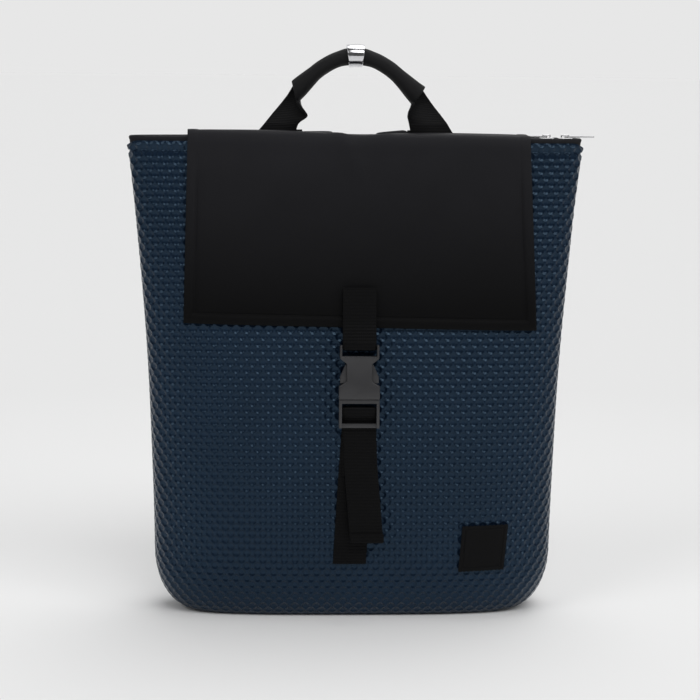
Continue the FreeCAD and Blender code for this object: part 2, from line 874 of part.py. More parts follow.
handle_y = cell["topHalfDepth"] + cell["handlePivotOut"]
handle_z = height + cell["handlePivotRise"]
leg_in = cell["handleX"] - cell["handleWeb"] / 2
leg_out = cell["handleX"] + cell["handleWeb"] / 2
tab_top = handle_z - cell["handleBead"] - gap
tab_levels = spread(height - cell["handleTabDrop"], height, 4)
tab_far = cell["handleTabOut"] + cell["tabThick"]
tab_wrap = wrap(tab_levels, leg_in, leg_out, cell["handleTabOut"], tab_far, False, 4)
tab_rise = wrap([height, tab_top], leg_in, leg_out, cell["handleTabOut"], tab_far, False, 4)
add_pair("handle_tab", tab_wrap.fuse(tab_rise))

arch_z = height + cell["archRise"] - cell["gripRadius"]
arch_centre = Vector(0, handle_y, arch_z)
half_angle = cell["gripHalfAngle"]


def ellipse_wire(high, wide):
    """An upright ellipse at the top of the arch, across the handle."""
    centre = arch_centre + Vector(0, 0, cell["gripRadius"])
    tall, broad = Vector(0, 0, high), Vector(0, wide, 0)
    if high >= wide:
        ellipse = Part.Ellipse(centre + tall, centre + broad, centre)
    else:
        ellipse = Part.Ellipse(centre + broad, centre + tall, centre)
    return Part.Wire(ellipse.toShape())


def arch_piece(outer, inner, low_angle, high_angle):
    """A tube or a bar bent along the handle's arch; angles are from upright."""
    face = Part.Face(outer).cut(Part.Face(inner)) if inner else Part.Face(outer)
    face.rotate(arch_centre, Vector(0, 1, 0), low_angle)
    return face.revolve(arch_centre, Vector(0, 1, 0), high_angle - low_angle)


high, wide, sleeve = cell["gripHigh"], cell["gripWide"], cell["sleeveThick"]
grip_outer = ellipse_wire(high, wide)
grip_inner = ellipse_wire(high - sleeve, wide - sleeve)
add_node("handle_grip", arch_piece(grip_outer, grip_inner, -half_angle, half_angle))
core = ellipse_wire(high - sleeve - gap, wide - sleeve - gap)
add_node("handle_core", arch_piece(core, None, -half_angle, half_angle))
clip_angle = math.degrees(cell["clipWidth"] / 2 / cell["gripRadius"])
clip_gap = 0.2
clip_inner = ellipse_wire(high + clip_gap, wide + clip_gap)
clip_outer = ellipse_wire(high + clip_gap + cell["clipThick"], wide + clip_gap + cell["clipThick"])
clip = arch_piece(clip_outer, clip_inner, -clip_angle, clip_angle)
add_node("handle_clip", clip)

leg_wires = []
leg_gap = math.degrees(gap / cell["gripRadius"])
end_angle = math.radians(half_angle + leg_gap)
end_x = cell["gripRadius"] * math.sin(end_angle)
end_z = arch_z + cell["gripRadius"] * math.cos(end_angle)
grip_end = Vector(end_x, handle_y, end_z)
leg_foot = Vector(cell["handleX"], handle_y, handle_z)
for share in (0.0, 0.35, 0.7, 1.0):
    blend = share * share * (3 - 2 * share)
    centre = leg_foot + (grip_end - leg_foot) * share
    lean = (math.pi / 2 - end_angle) * blend
    half_wide = cell["handleWeb"] / 2 * (1 - blend) + (high - 0.4) * blend
    half_deep = 0.9 * cell["handleBead"] * (1 - blend) + (wide - 0.6) * blend
    spots = []
    for step in range(20):
        turn = 2 * math.pi * step / 20
        c, s = math.cos(turn), math.sin(turn)
        power = 2 / (2 + 4 * (1 - blend))
        u = half_wide * math.copysign(abs(c) ** power, c)
        v = half_deep * math.copysign(abs(s) ** power, s)
        spots.append(centre + Vector(u * math.cos(lean), v, u * math.sin(lean)))
    leg_wires.append(Part.makePolygon(spots + spots[:1]))
leg_start = leg_foot - Vector(cell["handleWeb"] / 2, 0, 0)
leg_bead = Part.makeCylinder(cell["handleBead"], cell["handleWeb"], leg_start, Vector(1, 0, 0))
add_pair("handle_leg", loft(leg_wires, ruled=True).fuse(leg_bead))

# --------------------------------------------------------- back and straps

pad_levels = spread(cell["padLow"], height - cell["padDrop"], 5)
pad_half, pad_far = cell["padHalfWidth"], gap + cell["padThick"]
add_node("back_pad", wrap(pad_levels, -pad_half, pad_half, gap, pad_far, False))

strap_top, strap_end = height + cell["shoulderRise"], cell["shoulderEndZ"]
ROUND_TOP = 14.0


def shoulder_middle(z):
    share = (strap_top - z) / (strap_top - strap_end)
    return cell["shoulderTopX"] + (cell["shoulderEndX"] - cell["shoulderTopX"]) * share**1.7


def shoulder_half(z):
    share = (strap_top - z) / (strap_top - strap_end)
    full = cell["shoulderTopWidth"] + (cell["shoulderEndWidth"] - cell["shoulderTopWidth"]) * share
    over = max(0.0, (z - (strap_top - ROUND_TOP)) / ROUND_TOP)
    return full / 2 * math.sqrt(1 - 0.75 * over**2)


def shoulder_inner(z):
    return shoulder_middle(z) - shoulder_half(z)


def shoulder_outer(z):
    return shoulder_middle(z) + shoulder_half(z)


shoulder_near = cell["shoulderOut"]
shoulder_far = shoulder_near + cell["shoulderThick"]
shoulder_levels = graded(strap_top, strap_end - 12, 2, 1.4, 28)[::-1]
edges = (shoulder_inner, shoulder_outer)
shoulder = wrap(shoulder_levels, *edges, shoulder_near, shoulder_far, False, 5)

# Lower straps: flat webbing that runs down and outwards in a plane of its own.
anchor_x = cell["lowHalfWidth"] - cell["anchorInset"]
run = Vector(anchor_x - cell["shoulderEndX"], 0, cell["anchorZ"] - strap_end)
run_length = run.Length
lean = math.degrees(math.atan2(run.x, -run.z))
strap_y = skin_y(strap_end, cell["shoulderEndX"], 0.0, False)
mid_out = (shoulder_near + shoulder_far) / 2
half_width = cell["webWidth"] / 2
bar, slot_length = cell["adjusterBar"], cell["adjusterSlot"]
adjuster_top = -cell["adjusterDrop"]
first_bar = adjuster_top - bar
second_bar = first_bar - slot_length - bar
third_bar = second_bar - slot_length - bar
adjuster_mid = mid_out
behind = cell["adjusterThick"] / 2 + gap + half_web
loop_path = [
    (adjuster_mid - behind, -gap),
    (adjuster_mid - behind, first_bar - gap - half_web),
    (adjuster_mid + behind, first_bar - gap - half_web),
    (adjuster_mid + behind, -gap),
]
loop = ribbon(loop_path, [0, 1.4, 1.4, 0], web, -half_width, half_width)
anchor_low = -run_length - 6
anchor_far = cell["anchorOut"] + cell["anchorThick"]
lower_path = [
    (anchor_far + gap + half_web, anchor_low),
    (anchor_far + gap + half_web, -run_length + 8),
    (adjuster_mid - behind, third_bar - 6),
    (adjuster_mid - behind, second_bar + bar + gap + half_web),
    (adjuster_mid + behind, second_bar + bar + gap + half_web),
    (adjuster_mid + behind, third_bar - 4),
    (adjuster_mid + behind - 2, third_bar - 34),
]
lower = ribbon(lower_path, [0, 10, 6, 1.4, 1.4, 6, 0], web, -half_width, half_width)
anchor_half = half_width + 2
tab_low, tab_high = anchor_low - 3, anchor_low + cell["anchorLength"]
anchor_tab = box(-anchor_half, anchor_half, cell["anchorOut"], anchor_far, tab_low, tab_high)


def hang(shape):
    """Bring a piece made about the lower strap's own axis to the end of the shoulder strap."""
    shape.rotate(Vector(0, 0, 0), Vector(0, 1, 0), -lean)
    shape.translate(Vector(cell["shoulderEndX"], strap_y, strap_end))
    return shape


reach = cell["shoulderEndWidth"] + cell["shoulderTopWidth"]
below_end = box(-reach, reach, -reach, reach, -reach, 0)
add_pair("shoulder_strap", shoulder.cut(hang(below_end)))
add_pair("strap_loop", hang(loop))
add_pair("strap_webbing", hang(lower))
add_pair("strap_anchor", hang(anchor_tab))
for side, sign in (("right", 1), ("left", -1)):
    adjuster = new_body(f"strap_adjuster_{side}")
    first = "-adjusterDrop - adjusterBar"
    second = f"{first} - adjusterSlot - adjusterBar"
    third = f"{second} - adjusterSlot - adjusterBar"
    plate = outline_sketch(
        adjuster,
        "XZ_Plane",
        [
            block("-adjusterHalf", "adjusterHalf", third, "-adjusterDrop"),
            block("-slotHalf", "slotHalf", f"{first} - adjusterSlot", first),
            block("-slotHalf", "slotHalf", f"{second} - adjusterSlot", second),
        ],
        f"adjuster_{side}_plate",
    )
    pad(adjuster, plate, "adjusterThick")
    spot = Vector(sign * cell["shoulderEndX"], strap_y + adjuster_mid, strap_end)
    adjuster.Placement = Placement(spot, Rotation(Vector(0, 1, 0), -lean * sign))

# ------------------------------------------------------------------ output

doc.recompute()
os.makedirs("parts", exist_ok=True)
solids = [item for item in doc.Objects if item.isDerivedFrom("Part::Feature")]
nodes = [item for item in solids if item.TypeId in ("Part::Feature", "PartDesign::Body")]
for item in doc.Objects:
    if "Invalid" in item.State or "Error" in item.State:
        raise RuntimeError(f"{item.Label} did not compute")
for item in nodes:
    shape = item.Shape
    if shape.isNull() or not shape.isValid() or len(shape.Solids) != 1:
        raise RuntimeError(f"{item.Label} is not one valid solid")
    shape.exportStep(f"parts/{item.Label}.step")
print(len(nodes), "sub-parts written")
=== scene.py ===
import math

import bpy
import numpy as np
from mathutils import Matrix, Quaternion, Vector


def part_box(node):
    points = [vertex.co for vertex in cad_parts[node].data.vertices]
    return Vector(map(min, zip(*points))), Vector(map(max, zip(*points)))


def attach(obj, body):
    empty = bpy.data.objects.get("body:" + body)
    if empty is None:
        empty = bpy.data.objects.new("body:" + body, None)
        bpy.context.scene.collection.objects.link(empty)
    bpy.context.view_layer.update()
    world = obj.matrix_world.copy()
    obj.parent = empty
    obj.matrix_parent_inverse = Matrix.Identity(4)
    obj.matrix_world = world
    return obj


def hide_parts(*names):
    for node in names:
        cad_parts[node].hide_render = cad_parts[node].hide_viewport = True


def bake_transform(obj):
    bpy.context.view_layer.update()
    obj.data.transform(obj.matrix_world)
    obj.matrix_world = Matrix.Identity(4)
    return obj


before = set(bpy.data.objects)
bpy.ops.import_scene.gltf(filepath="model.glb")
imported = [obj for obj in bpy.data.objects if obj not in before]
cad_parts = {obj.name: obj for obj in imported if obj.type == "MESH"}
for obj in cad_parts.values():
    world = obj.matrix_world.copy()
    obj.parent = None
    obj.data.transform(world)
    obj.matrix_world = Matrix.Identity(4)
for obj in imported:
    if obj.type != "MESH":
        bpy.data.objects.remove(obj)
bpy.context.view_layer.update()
bpy.ops.object.select_all(action="DESELECT")
scene = bpy.context.scene
scene.view_settings.view_transform = "Standard"
print("frame loaded")


camera = {
    "aim": (-0.0030, 0, 0.2005),
    "distance": 1.45,
    "elevation": 9.0,
    "turn": 2.5,  # how far it stands to the left
    "roll": 0.55,
    "lens": 97.7,
}
rise, swing = math.radians(camera["elevation"]), math.radians(camera["turn"])
away = Vector((-math.sin(swing) * math.cos(rise), -math.cos(swing) * math.cos(rise), math.sin(rise)))
view = away.to_track_quat("Z", "Y") @ Quaternion((0, 0, 1), math.radians(camera["roll"]))
spot = Vector(camera["aim"]) + away * camera["distance"]
bpy.ops.object.camera_add(location=spot, rotation=view.to_euler())
scene.camera = bpy.context.object
scene.camera.data.lens = camera["lens"]
scene.camera.data.sensor_width = 36

studio = {
    "paper": 0.799,  # how bright the empty background is
    "room": 0.08,  # how bright the room looks in shiny parts
    "fadeFrom": -0.1,
    "fadeTo": 0.7,
    "fill": 0.34,
    "floorTone": 0.735,
    # painted light: how pale the floor is painted round the bag, and how far out that reaches
    "nearPaintedLight": 0.82,
    "reach": 1.0,
    "floorSize": 60,
}
lamps = {
    "key": {"from": (0.15, -0.75, 0.95), "power": 0.75, "spread": 28},
    "left": {"from": (-0.75, -0.65, 0.75), "power": 0.5, "spread": 30},
    "right": {"from": (0.8, -0.65, 0.75), "power": 0.6, "spread": 30},
    "top": {"from": (0.3, 0.5, 1.6), "power": 1.2, "spread": 45},
}
for lamp in lamps.values():
    aimed = Vector(lamp["from"]).to_track_quat("Z", "Y").to_euler()
    bpy.ops.object.light_add(type="SUN", location=lamp["from"], rotation=aimed)
    bpy.context.object.data.energy = lamp["power"]
    bpy.context.object.data.angle = math.radians(lamp["spread"])

world = bpy.data.worlds.new("studio")
scene.world = world
world.use_nodes = True
nodes, links = world.node_tree.nodes, world.node_tree.links


def larger(first, second):
    # the larger of two world sockets
    node = nodes.new("ShaderNodeMath")
    node.operation = "MAXIMUM"
    links.new(first, node.inputs[0])
    links.new(second, node.inputs[1])
    return node.outputs[0]


shine = nodes["Background"]
shine.inputs["Color"].default_value = (1, 1, 1, 1)
shine.inputs["Strength"].default_value = studio["fill"]
# the paper hangs behind the bag, and the room on the camera's side is dark
ways = nodes.new("ShaderNodeTexCoord")
split = nodes.new("ShaderNodeSeparateXYZ")
links.new(ways.outputs["Generated"], split.inputs[0])
shadeRamp = nodes.new("ShaderNodeMapRange")
shadeRamp.interpolation_type = "SMOOTHSTEP"
fadeValues = {"From Min": "fadeFrom", "From Max": "fadeTo", "To Min": "room", "To Max": "paper"}
for socket, key in fadeValues.items():
    shadeRamp.inputs[socket].default_value = studio[key]
links.new(split.outputs["Y"], shadeRamp.inputs["Value"])
ray = nodes.new("ShaderNodeLightPath")
paperSeen = nodes.new("ShaderNodeMath")
paperSeen.operation = "MULTIPLY"
paperSeen.inputs[1].default_value = studio["paper"]
links.new(ray.outputs["Is Camera Ray"], paperSeen.inputs[0])
backdrop = nodes.new("ShaderNodeBackground")
backdrop.inputs["Color"].default_value = (1, 1, 1, 1)
links.new(larger(paperSeen.outputs[0], shadeRamp.outputs[0]), backdrop.inputs["Strength"])
seen = ray.outputs["Is Camera Ray"]
for kind in ("Is Glossy Ray", "Is Transmission Ray"):
    seen = larger(seen, ray.outputs[kind])
choice = nodes.new("ShaderNodeMixShader")
links.new(seen, choice.inputs[0])
links.new(shine.outputs[0], choice.inputs[1])
links.new(backdrop.outputs[0], choice.inputs[2])
links.new(choice.outputs[0], nodes["World Output"].inputs["Surface"])


class Wire:
    # one socket, so that shader sums can be written as sums
    def __init__(self, finish, socket):
        self.finish, self.socket = finish, socket

    def maths(self, how, other=0.0, swap=False):
        first, second = (other, self) if swap else (self, other)
        return self.finish.add("ShaderNodeMath", {"operation": how}, {0: first, 1: second})

    def __add__(self, other):
        return self.maths("ADD", other)

    def __sub__(self, other):
        return self.maths("SUBTRACT", other)

    def __rsub__(self, other):
        return self.maths("SUBTRACT", other, True)

    def __mul__(self, other):
        return self.maths("MULTIPLY", other)

    def __truediv__(self, other):
        return self.maths("DIVIDE", other)

    def __pow__(self, other):
        return self.maths("POWER", other)

    __radd__ = __add__
    __rmul__ = __mul__


class Finish:
    # a material: fixed numbers sit on the shader, and what varies is fed to it
    def __init__(self, name, **fixed):
        self.material = bpy.data.materials.new(name)
        self.material.use_nodes = True
        self.tree = self.material.node_tree
        self.shader = self.tree.nodes["Principled BSDF"]
        for socket, value in fixed.items():
            self.shader.inputs[socket.replace("_", " ")].default_value = value

    def add(self, kind, settings=None, inputs=None, out=0):
        node = self.tree.nodes.new(kind)
        for key, value in (settings or {}).items():
            setattr(node, key, value)
        for key, value in (inputs or {}).items():
            if isinstance(value, Wire):
                self.tree.links.new(value.socket, node.inputs[key])
            else:
                node.inputs[key].default_value = value
        return Wire(self, node.outputs[out])

    def feed(self, **wires):
        for socket, wire in wires.items():
            self.tree.links.new(wire.socket, self.shader.inputs[socket.replace("_", " ")])
        return self.material

    def place(self):
        return self.add("ShaderNodeTexCoord", out="Object")

    def cloth(self):
        return self.add("ShaderNodeUVMap", {"uv_map": "cloth"}, out="UV")

    def axes(self, where):
        return [self.add("ShaderNodeSeparateXYZ", None, {0: where}, out=k) for k in range(3)]

    def noise(self, where, scale, detail=2.0, rough=0.5):
        values = {"Vector": where, "Scale": scale, "Detail": detail, "Roughness": rough}
        return self.add("ShaderNodeTexNoise", None, values, out="Fac")

    def blend(self, share, first, second):
        a = first if isinstance(first, Wire) else (*first, 1)
        b = second if isinstance(second, Wire) else (*second, 1)
        return self.add("ShaderNodeMix", {"data_type": "RGBA"}, {0: share, 6: a, 7: b}, out=2)

    def bump(self, height, distance, strength=1.0, under=None):
        values = {"Height": height, "Distance": distance, "Strength": strength}
        if under is not None:
            values["Normal"] = under
        return self.add("ShaderNodeBump", None, values, out="Normal")


def tone(red, green, blue):
    # a screen colour from 0 to 255, as the shader's own colour
    def single(value):
        value /= 255
        return value / 12.92 if value < 0.04045 else ((value + 0.055) / 1.055) ** 2.4

    return (single(red), single(green), single(blue))


def scaled(colour, share):
    return tuple(share * c for c in colour)


dimple = {
    "across": 0.0081,
    "down": 0.0099,
    "radius": 0.0034,
    "floor": 0.5,  # share of the radius that lies flat
    "depth": 0.00055,
    "extraDepth": 0.00045,  # shading beyond the modelled depth
}


def hideFinish():
    finish = Finish("embossedHide", Specular_IOR_Level=0.36, Specular_Tint=(0.45, 0.72, 1.0, 1.0))
    across, down, _ = finish.axes(finish.cloth())

    def offCentre(wire, pitch, shift):
        step = wire / pitch + shift
        return (step - step.maths("FLOOR") - 0.5) * (pitch / dimple["radius"])

    def nearest(shift):
        a, b = offCentre(across, dimple["across"], shift), offCentre(down, dimple["down"], shift)
        return (a * a + b * b) ** 0.5

    centre = nearest(0.5).maths("MINIMUM", nearest(0.0))
    wall = ((centre - dimple["floor"]) / (1 - dimple["floor"])).maths("MAXIMUM", 0.0).maths("MINIMUM", 1.0)
    slope = wall * (1 - wall) * 4
    where = finish.place()
    grain = finish.noise(where, 2600, 3)
    cloud = finish.noise(where, 14, 2)
    base = finish.blend(cloud, tone(11, 21, 35), tone(18, 31, 48))
    # painted shade: the colour is darkened halfway down each pit's wall, where the recess falls into shade
    shade = finish.blend(slope * 0.35, base, tone(5, 11, 21))
    rough = 0.2 + grain * 0.08
    fold = finish.bump(wall, dimple["extraDepth"])
    relief = finish.bump(grain, 0.0001, 0.3, fold)
    return finish.feed(Base_Color=shade, Roughness=rough, Normal=relief)


def nylonFinish(name, colour, threads=0.00045, strength=0.35, solid=False, shadeRamp=None):
    # solid pieces have no cloth map, so their weave runs along X and Z
    finish = Finish(name, Specular_IOR_Level=0.09)
    axes = finish.axes(finish.place() if solid else finish.cloth())
    across, down = axes[0], axes[2] if solid else axes[1]
    turn = 2 * math.pi / threads
    weave = (across * turn).maths("SINE") * (down * turn).maths("SINE")
    where = finish.place()
    cloud = finish.noise(where, 22, 3)
    base = finish.blend(cloud, scaled(colour, 0.85), scaled(colour, 1.25))
    if shadeRamp:
        # painted shade: the cloth darkens down its length, from the second height to the first, as the
        # light falls off lower down
        up = ((finish.axes(where)[2] - shadeRamp[0]) / (shadeRamp[1] - shadeRamp[0])).maths("MAXIMUM", 0.0)
        base = finish.blend(up.maths("MINIMUM", 1.0), scaled(colour, 0.12), base)
    relief = finish.bump(weave, 0.00006, strength)
    return finish.feed(Base_Color=base, Roughness=0.5 + cloud * 0.16, Normal=relief)


def webbingFinish(name, colour, rib=0.0024):
    # ribs across the strap, each broken into the bumps of its warp threads
    finish = Finish(name, Specular_IOR_Level=0.08)
    across, down, _ = finish.axes(finish.cloth())
    pick = (down * (2 * math.pi / rib)).maths("SINE") * 0.5 + 0.5
    warp = (across * (2 * math.pi / 0.0014)).maths("SINE") * 0.5 + 0.5
    grid = pick * (warp * 0.6 + 0.4)
    cloud = finish.noise(finish.place(), 60, 2)
    # painted light and shade mixed with random mottling: the colour follows the ribs' relief, paler on
    # their crowns and darker in the grooves
    base = finish.blend(grid * 0.6 + cloud * 0.4, scaled(colour, 0.6), scaled(colour, 1.5))
    relief = finish.bump(grid, 0.00025, 0.8)
    return finish.feed(Base_Color=base, Roughness=0.62 - grid * 0.2, Normal=relief)


def plasticFinish(name, colour, roughness=0.32):
    finish = Finish(name, IOR=1.48)
    where = finish.place()
    grain = finish.noise(where, 1800, 2)
    cloud = finish.noise(where, 90, 2)
    base = finish.blend(cloud, scaled(colour, 0.85), scaled(colour, 1.2))
    relief = finish.bump(grain, 0.00003, 0.5)
    return finish.feed(Base_Color=base, Roughness=roughness + cloud * 0.12, Normal=relief)


def metalFinish(name, colour, roughness):
    finish = Finish(name, Metallic=1.0)
    where = finish.place()
    streaks = finish.noise(where, 900, 3)
    wear = finish.noise(where, 120, 2)
    base = finish.blend(wear, scaled(colour, 0.85), colour)
    relief = finish.bump(streaks, 0.00002, 0.3)
    return finish.feed(Base_Color=base, Roughness=roughness + wear * 0.08, Normal=relief)


finishes = {
    "hide": hideFinish(),
    # the flap cloth gets painted shade towards its lower edge
    "flap": nylonFinish("flapCloth", tone(30, 30, 33), shadeRamp=(0.235, 0.36)),
    "handle": nylonFinish("handleCloth", tone(27, 27, 28), 0.0006, 0.5),
    "pad": nylonFinish("padCloth", tone(30, 30, 32), 0.0022, 0.9, solid=True),
    "lining": nylonFinish("liningCloth", tone(70, 73, 78), solid=True),
    "webbing": webbingFinish("strapWeb", tone(9, 9, 10)),
    "handleWeb": webbingFinish("handleWebbing", tone(24, 24, 25), 0.0012),
    "tape": webbingFinish("zipTape", tone(24, 24, 26), 0.0007),
    "patch": nylonFinish("patchCloth", tone(10, 10, 11), 0.0007, 0.9),
    "buckle": plasticFinish("buckleMoulding", tone(44, 44, 46)),
    "teeth": plasticFinish("zipTeeth", tone(26, 26, 28), 0.4),
    "board": plasticFinish("stiffBoard", tone(50, 50, 52), 0.6),
    "zipMetal": metalFinish("zipMetal", (0.78, 0.78, 0.79), 0.16),
    "clipMetal": metalFinish("clipMetal", (0.74, 0.74, 0.76), 0.12),
}
print("finishes made")


def only(piece):
    if bpy.context.object and bpy.context.object.mode != "OBJECT":
        bpy.ops.object.mode_set(mode="OBJECT")
    bpy.ops.object.select_all(action="DESELECT")
    piece.select_set(True)
    bpy.context.view_layer.objects.active = piece


def edit(piece, *jobs):
    # run edit-mode jobs on the whole mesh
    only(piece)
    bpy.ops.object.mode_set(mode="EDIT")
    bpy.ops.mesh.select_all(action="SELECT")
    for job, words in jobs:
        job(**words)
    bpy.ops.object.mode_set(mode="OBJECT")


def modify(piece, kind, **words):
    only(piece)
    made = piece.modifiers.new(kind, kind)
    for key, value in words.items():
        setattr(made, key, value)
    bpy.ops.object.modifier_apply(modifier=made.name)


def dress(piece, finish, body, slot, *replaced, smooth=40):
    only(piece)
    if smooth:
        bpy.ops.object.shade_smooth_by_angle(angle=math.radians(smooth))
    piece.data.materials.clear()
    piece.data.materials.append(finishes[finish])
    if body:
        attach(piece, body)
    if replaced:
        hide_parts(*replaced)
    return piece


def readPoints(mesh):
    flat = np.empty(len(mesh.vertices) * 3, np.float32)
    mesh.vertices.foreach_get("co", flat)
    return flat.reshape(-1, 3)


def writePoints(mesh, points):
    mesh.vertices.foreach_set("co", points.astype(np.float32).ravel())
    mesh.update()


def nudge(piece, change):
    # move every point by a function of its place
    writePoints(piece.data, change(readPoints(piece.data).astype(float)))


def ownCopy(source, name):
    # a duplicate with its own mesh and none of the source's notes
    only(source)
    bpy.ops.object.duplicate()
    piece = bpy.context.object
    piece.parent = None
    for key in list(piece.keys()):
        del piece[key]
    piece.name = piece.data.name = name
    return piece


def woven(name, points, cloth, closed=False, caps=False):
    # a cloth surface from a grid: points and cloth coordinates are rows by columns
    if caps:
        ends = [np.broadcast_to(row.mean(axis=0), row.shape) for row in (points[0], points[-1])]
        points = np.concatenate([ends[:1], points, ends[1:]])
        cloth = np.concatenate([cloth[:1], cloth, cloth[-1:]])
    rows, columns = points.shape[:2]
    bpy.ops.mesh.primitive_grid_add(x_subdivisions=columns - 1, y_subdivisions=rows - 1, size=2)
    piece = bpy.context.object
    piece.name = piece.data.name = name
    mesh = piece.data
    flat = readPoints(mesh)
    column = np.rint((flat[:, 0] + 1) / 2 * (columns - 1)).astype(int)
    row = np.rint((flat[:, 1] + 1) / 2 * (rows - 1)).astype(int)
    writePoints(mesh, points[row, column])
    corner = np.empty(len(mesh.loops), np.int32)
    mesh.loops.foreach_get("vertex_index", corner)
    layer = mesh.uv_layers[0]
    layer.name = "cloth"
    layer.data.foreach_set("uv", cloth[row, column][corner].astype(np.float32).ravel())
    mesh.update()
    if closed:
        edit(
            piece,
            (bpy.ops.mesh.remove_doubles, {"threshold": 1e-6}),
            (bpy.ops.mesh.normals_make_consistent, {"inside": False}),
        )
    return piece


def turnOut(piece, towards):
    # make an open sheet's faces look towards a direction
    mesh = piece.data
    facing = sum((face.normal * face.area for face in mesh.polygons), Vector())
    if facing.dot(Vector(towards)) < 0:
        edit(piece, (bpy.ops.mesh.flip_normals, {}))


def rounded(piece, width, angle, segments=2):
    # round the edges that turn more than an angle
    limit = {"limit_method": "ANGLE", "angle_limit": math.radians(angle)}
    modify(piece, "BEVEL", width=width, segments=segments, **limit)


def softened(node, name, width, finish, body, slot, angle=30, segments=3):
    # a hard part with its moulded or tumbled edges rounded
    piece = ownCopy(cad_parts[node], name)
    edit(
        piece,
        (bpy.ops.mesh.remove_doubles, {"threshold": 1e-6}),
        (bpy.ops.mesh.dissolve_limited, {"angle_limit": math.radians(2)}),
    )
    rounded(piece, width, angle, segments)
    return dress(piece, finish, body, slot, node)


def roundedRun(points, radii, step=0.0008):
    # points along straights joined by tangent arcs
    points = [np.array(p, float) for p in points]
    made = [points[0]]
    for k in range(1, len(points) - 1):
        a = points[k] - points[k - 1]
        b = points[k + 1] - points[k]
        a, b = a / np.linalg.norm(a), b / np.linalg.norm(b)
        turn = math.acos(max(-1.0, min(1.0, float(a @ b))))
        if turn < 1e-3:
            made.append(points[k])
            continue
        reach = radii[k] * math.tan(turn / 2)
        inward = (b - a) / np.linalg.norm(b - a)
        middle = points[k] + inward * radii[k] / math.cos(turn / 2)
        start = points[k] - a * reach
        pieces = max(2, int(radii[k] * turn / step))
        for j in range(pieces + 1):
            t = turn * j / pieces
            made.append(middle + (start - middle) * math.cos(t) + a * radii[k] * math.sin(t))
    made.append(points[-1])
    made = np.array(made)
    keep = np.r_[True, np.linalg.norm(np.diff(made, axis=0), axis=1) > 1e-6]
    return made[keep]


def evened(run, spacing):
    # the same run with points no further apart than a spacing
    steps = np.linalg.norm(np.diff(run, axis=0), axis=1)
    along = np.r_[0, np.cumsum(steps)]
    wanted = [0.0]
    for a, b in zip(along, along[1:]):
        count = max(1, int(math.ceil((b - a) / spacing)))
        wanted += [a + (b - a) * (k + 1) / count for k in range(count)]
    return np.stack([np.interp(wanted, along, run[:, k]) for k in range(run.shape[1])], 1), np.array(wanted)


def strapMesh(name, run, width, thick, centre=0.0, skew=None, ripple=0.0, carry=None):
    # flat webbing that follows a run in YZ; skew moves it sideways along its length
    line, along = evened(run, 0.004)
    rim = 26
    angles = np.linspace(0, 2 * np.pi, rim + 1)
    c, s = np.cos(angles), np.sin(angles)
    acrossShape = np.sign(c) * np.abs(c) ** 0.35 * width / 2
    thickShape = np.sign(s) * np.abs(s) ** 0.8 * thick / 2
    ahead = np.gradient(line, axis=0)
    ahead /= np.linalg.norm(ahead, axis=1)[:, None]
    normal = np.stack([-ahead[:, 1], ahead[:, 0]], 1)
    shift = np.zeros(len(line)) if skew is None else np.interp(along, *skew)
    points = np.zeros((len(line), rim + 1, 3))
    wave = ripple * np.sin(along * 90)[:, None] * (acrossShape / width * 2)[None, :] ** 2
    points[..., 0] = centre + shift[:, None] + acrossShape[None, :]
    for k in (0, 1):
        points[..., k + 1] = line[:, k : k + 1] + normal[:, k : k + 1] * (thickShape[None, :] + wave)
    points[:, -1] = points[:, 0]
    if carry:
        points = carry(points)
    cloth = np.zeros((len(line), rim + 1, 2))
    cloth[..., 0] = acrossShape[None, :] + np.where(s < 0, 0.05, 0)[None, :]
    cloth[..., 1] = along[:, None]
    return woven(name, points, cloth, closed=True, caps=True)


bag = {
    "height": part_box("front_shell")[1].z,
    "topHalf": 0.1713,
    "lowHalf": 0.1522,
    "topDepth": 0.017,
    "frontBulge": 0.027,
    "backBulge": 0.017,
    "baseRound": 0.048,
    "baseInsetX": 0.032,
    "baseInsetY": 0.018,
    "squareTop": 5.0,
    "squareFront": 3.4,
    "squareBack": 5.0,
    "flare": 2.2,
    "bulgeShape": 1.8,
}


def bagForm(z, offset=0.0, front=True):
    z = np.asarray(z, float)
    share = np.clip(z / bag["height"], 0, 1)
    half = bag["lowHalf"] + (bag["topHalf"] - bag["lowHalf"]) * share ** bag["flare"]
    swell = 1 - share ** bag["bulgeShape"]
    depth = bag["topDepth"] + (bag["frontBulge"] if front else bag["backBulge"]) * swell
    below = np.clip(1 - z / bag["baseRound"], 0, 1)
    turn = 1 - np.sqrt(1 - below**2)
    square = bag["squareFront"] + (bag["squareTop"] - bag["squareFront"]) * share**2
    power = square if front else np.full_like(share, bag["squareBack"])
    return half - bag["baseInsetX"] * turn + offset, depth - bag["baseInsetY"] * turn + offset, power


def skinY(z, x, offset=0.0, front=True):
    half, depth, power = bagForm(z, offset, front)
    y = depth * (1 - np.clip(np.abs(x) / half, 0, 1) ** power) ** (1 / power)
    return -y if front else y


def bagRows(levels, offsets, front, columns):
    # plan sections, evenly spaced round half of the bag, and how far each point is from the middle
    turns = np.linspace(np.pi, 0, 1601)
    c, s = np.cos(turns), np.sin(turns)
    points, spread = [], []
    for z, offset in zip(levels, offsets):
        half, depth, power = bagForm(max(z, 0.0), offset, front)
        x = half * np.sign(c) * np.abs(c) ** (2 / power)
        y = depth * np.abs(s) ** (2 / power)
        along = np.r_[0, np.cumsum(np.hypot(np.diff(x), np.diff(y)))]
        goal = np.linspace(0, along[-1], columns)
        row = np.stack([np.interp(goal, along, x), np.interp(goal, along, y), np.full(columns, z)], 1)
        if front:
            row[:, 1] *= -1
        points.append(row)
        spread.append(goal - along[-1] / 2)
    return np.array(points), np.array(spread)


def gridNormals(points):
    across = np.gradient(points, axis=1)
    down = np.gradient(points, axis=0)
    normal = np.cross(across, down)
    return normal / np.maximum(np.linalg.norm(normal, axis=2), 1e-12)[..., None]


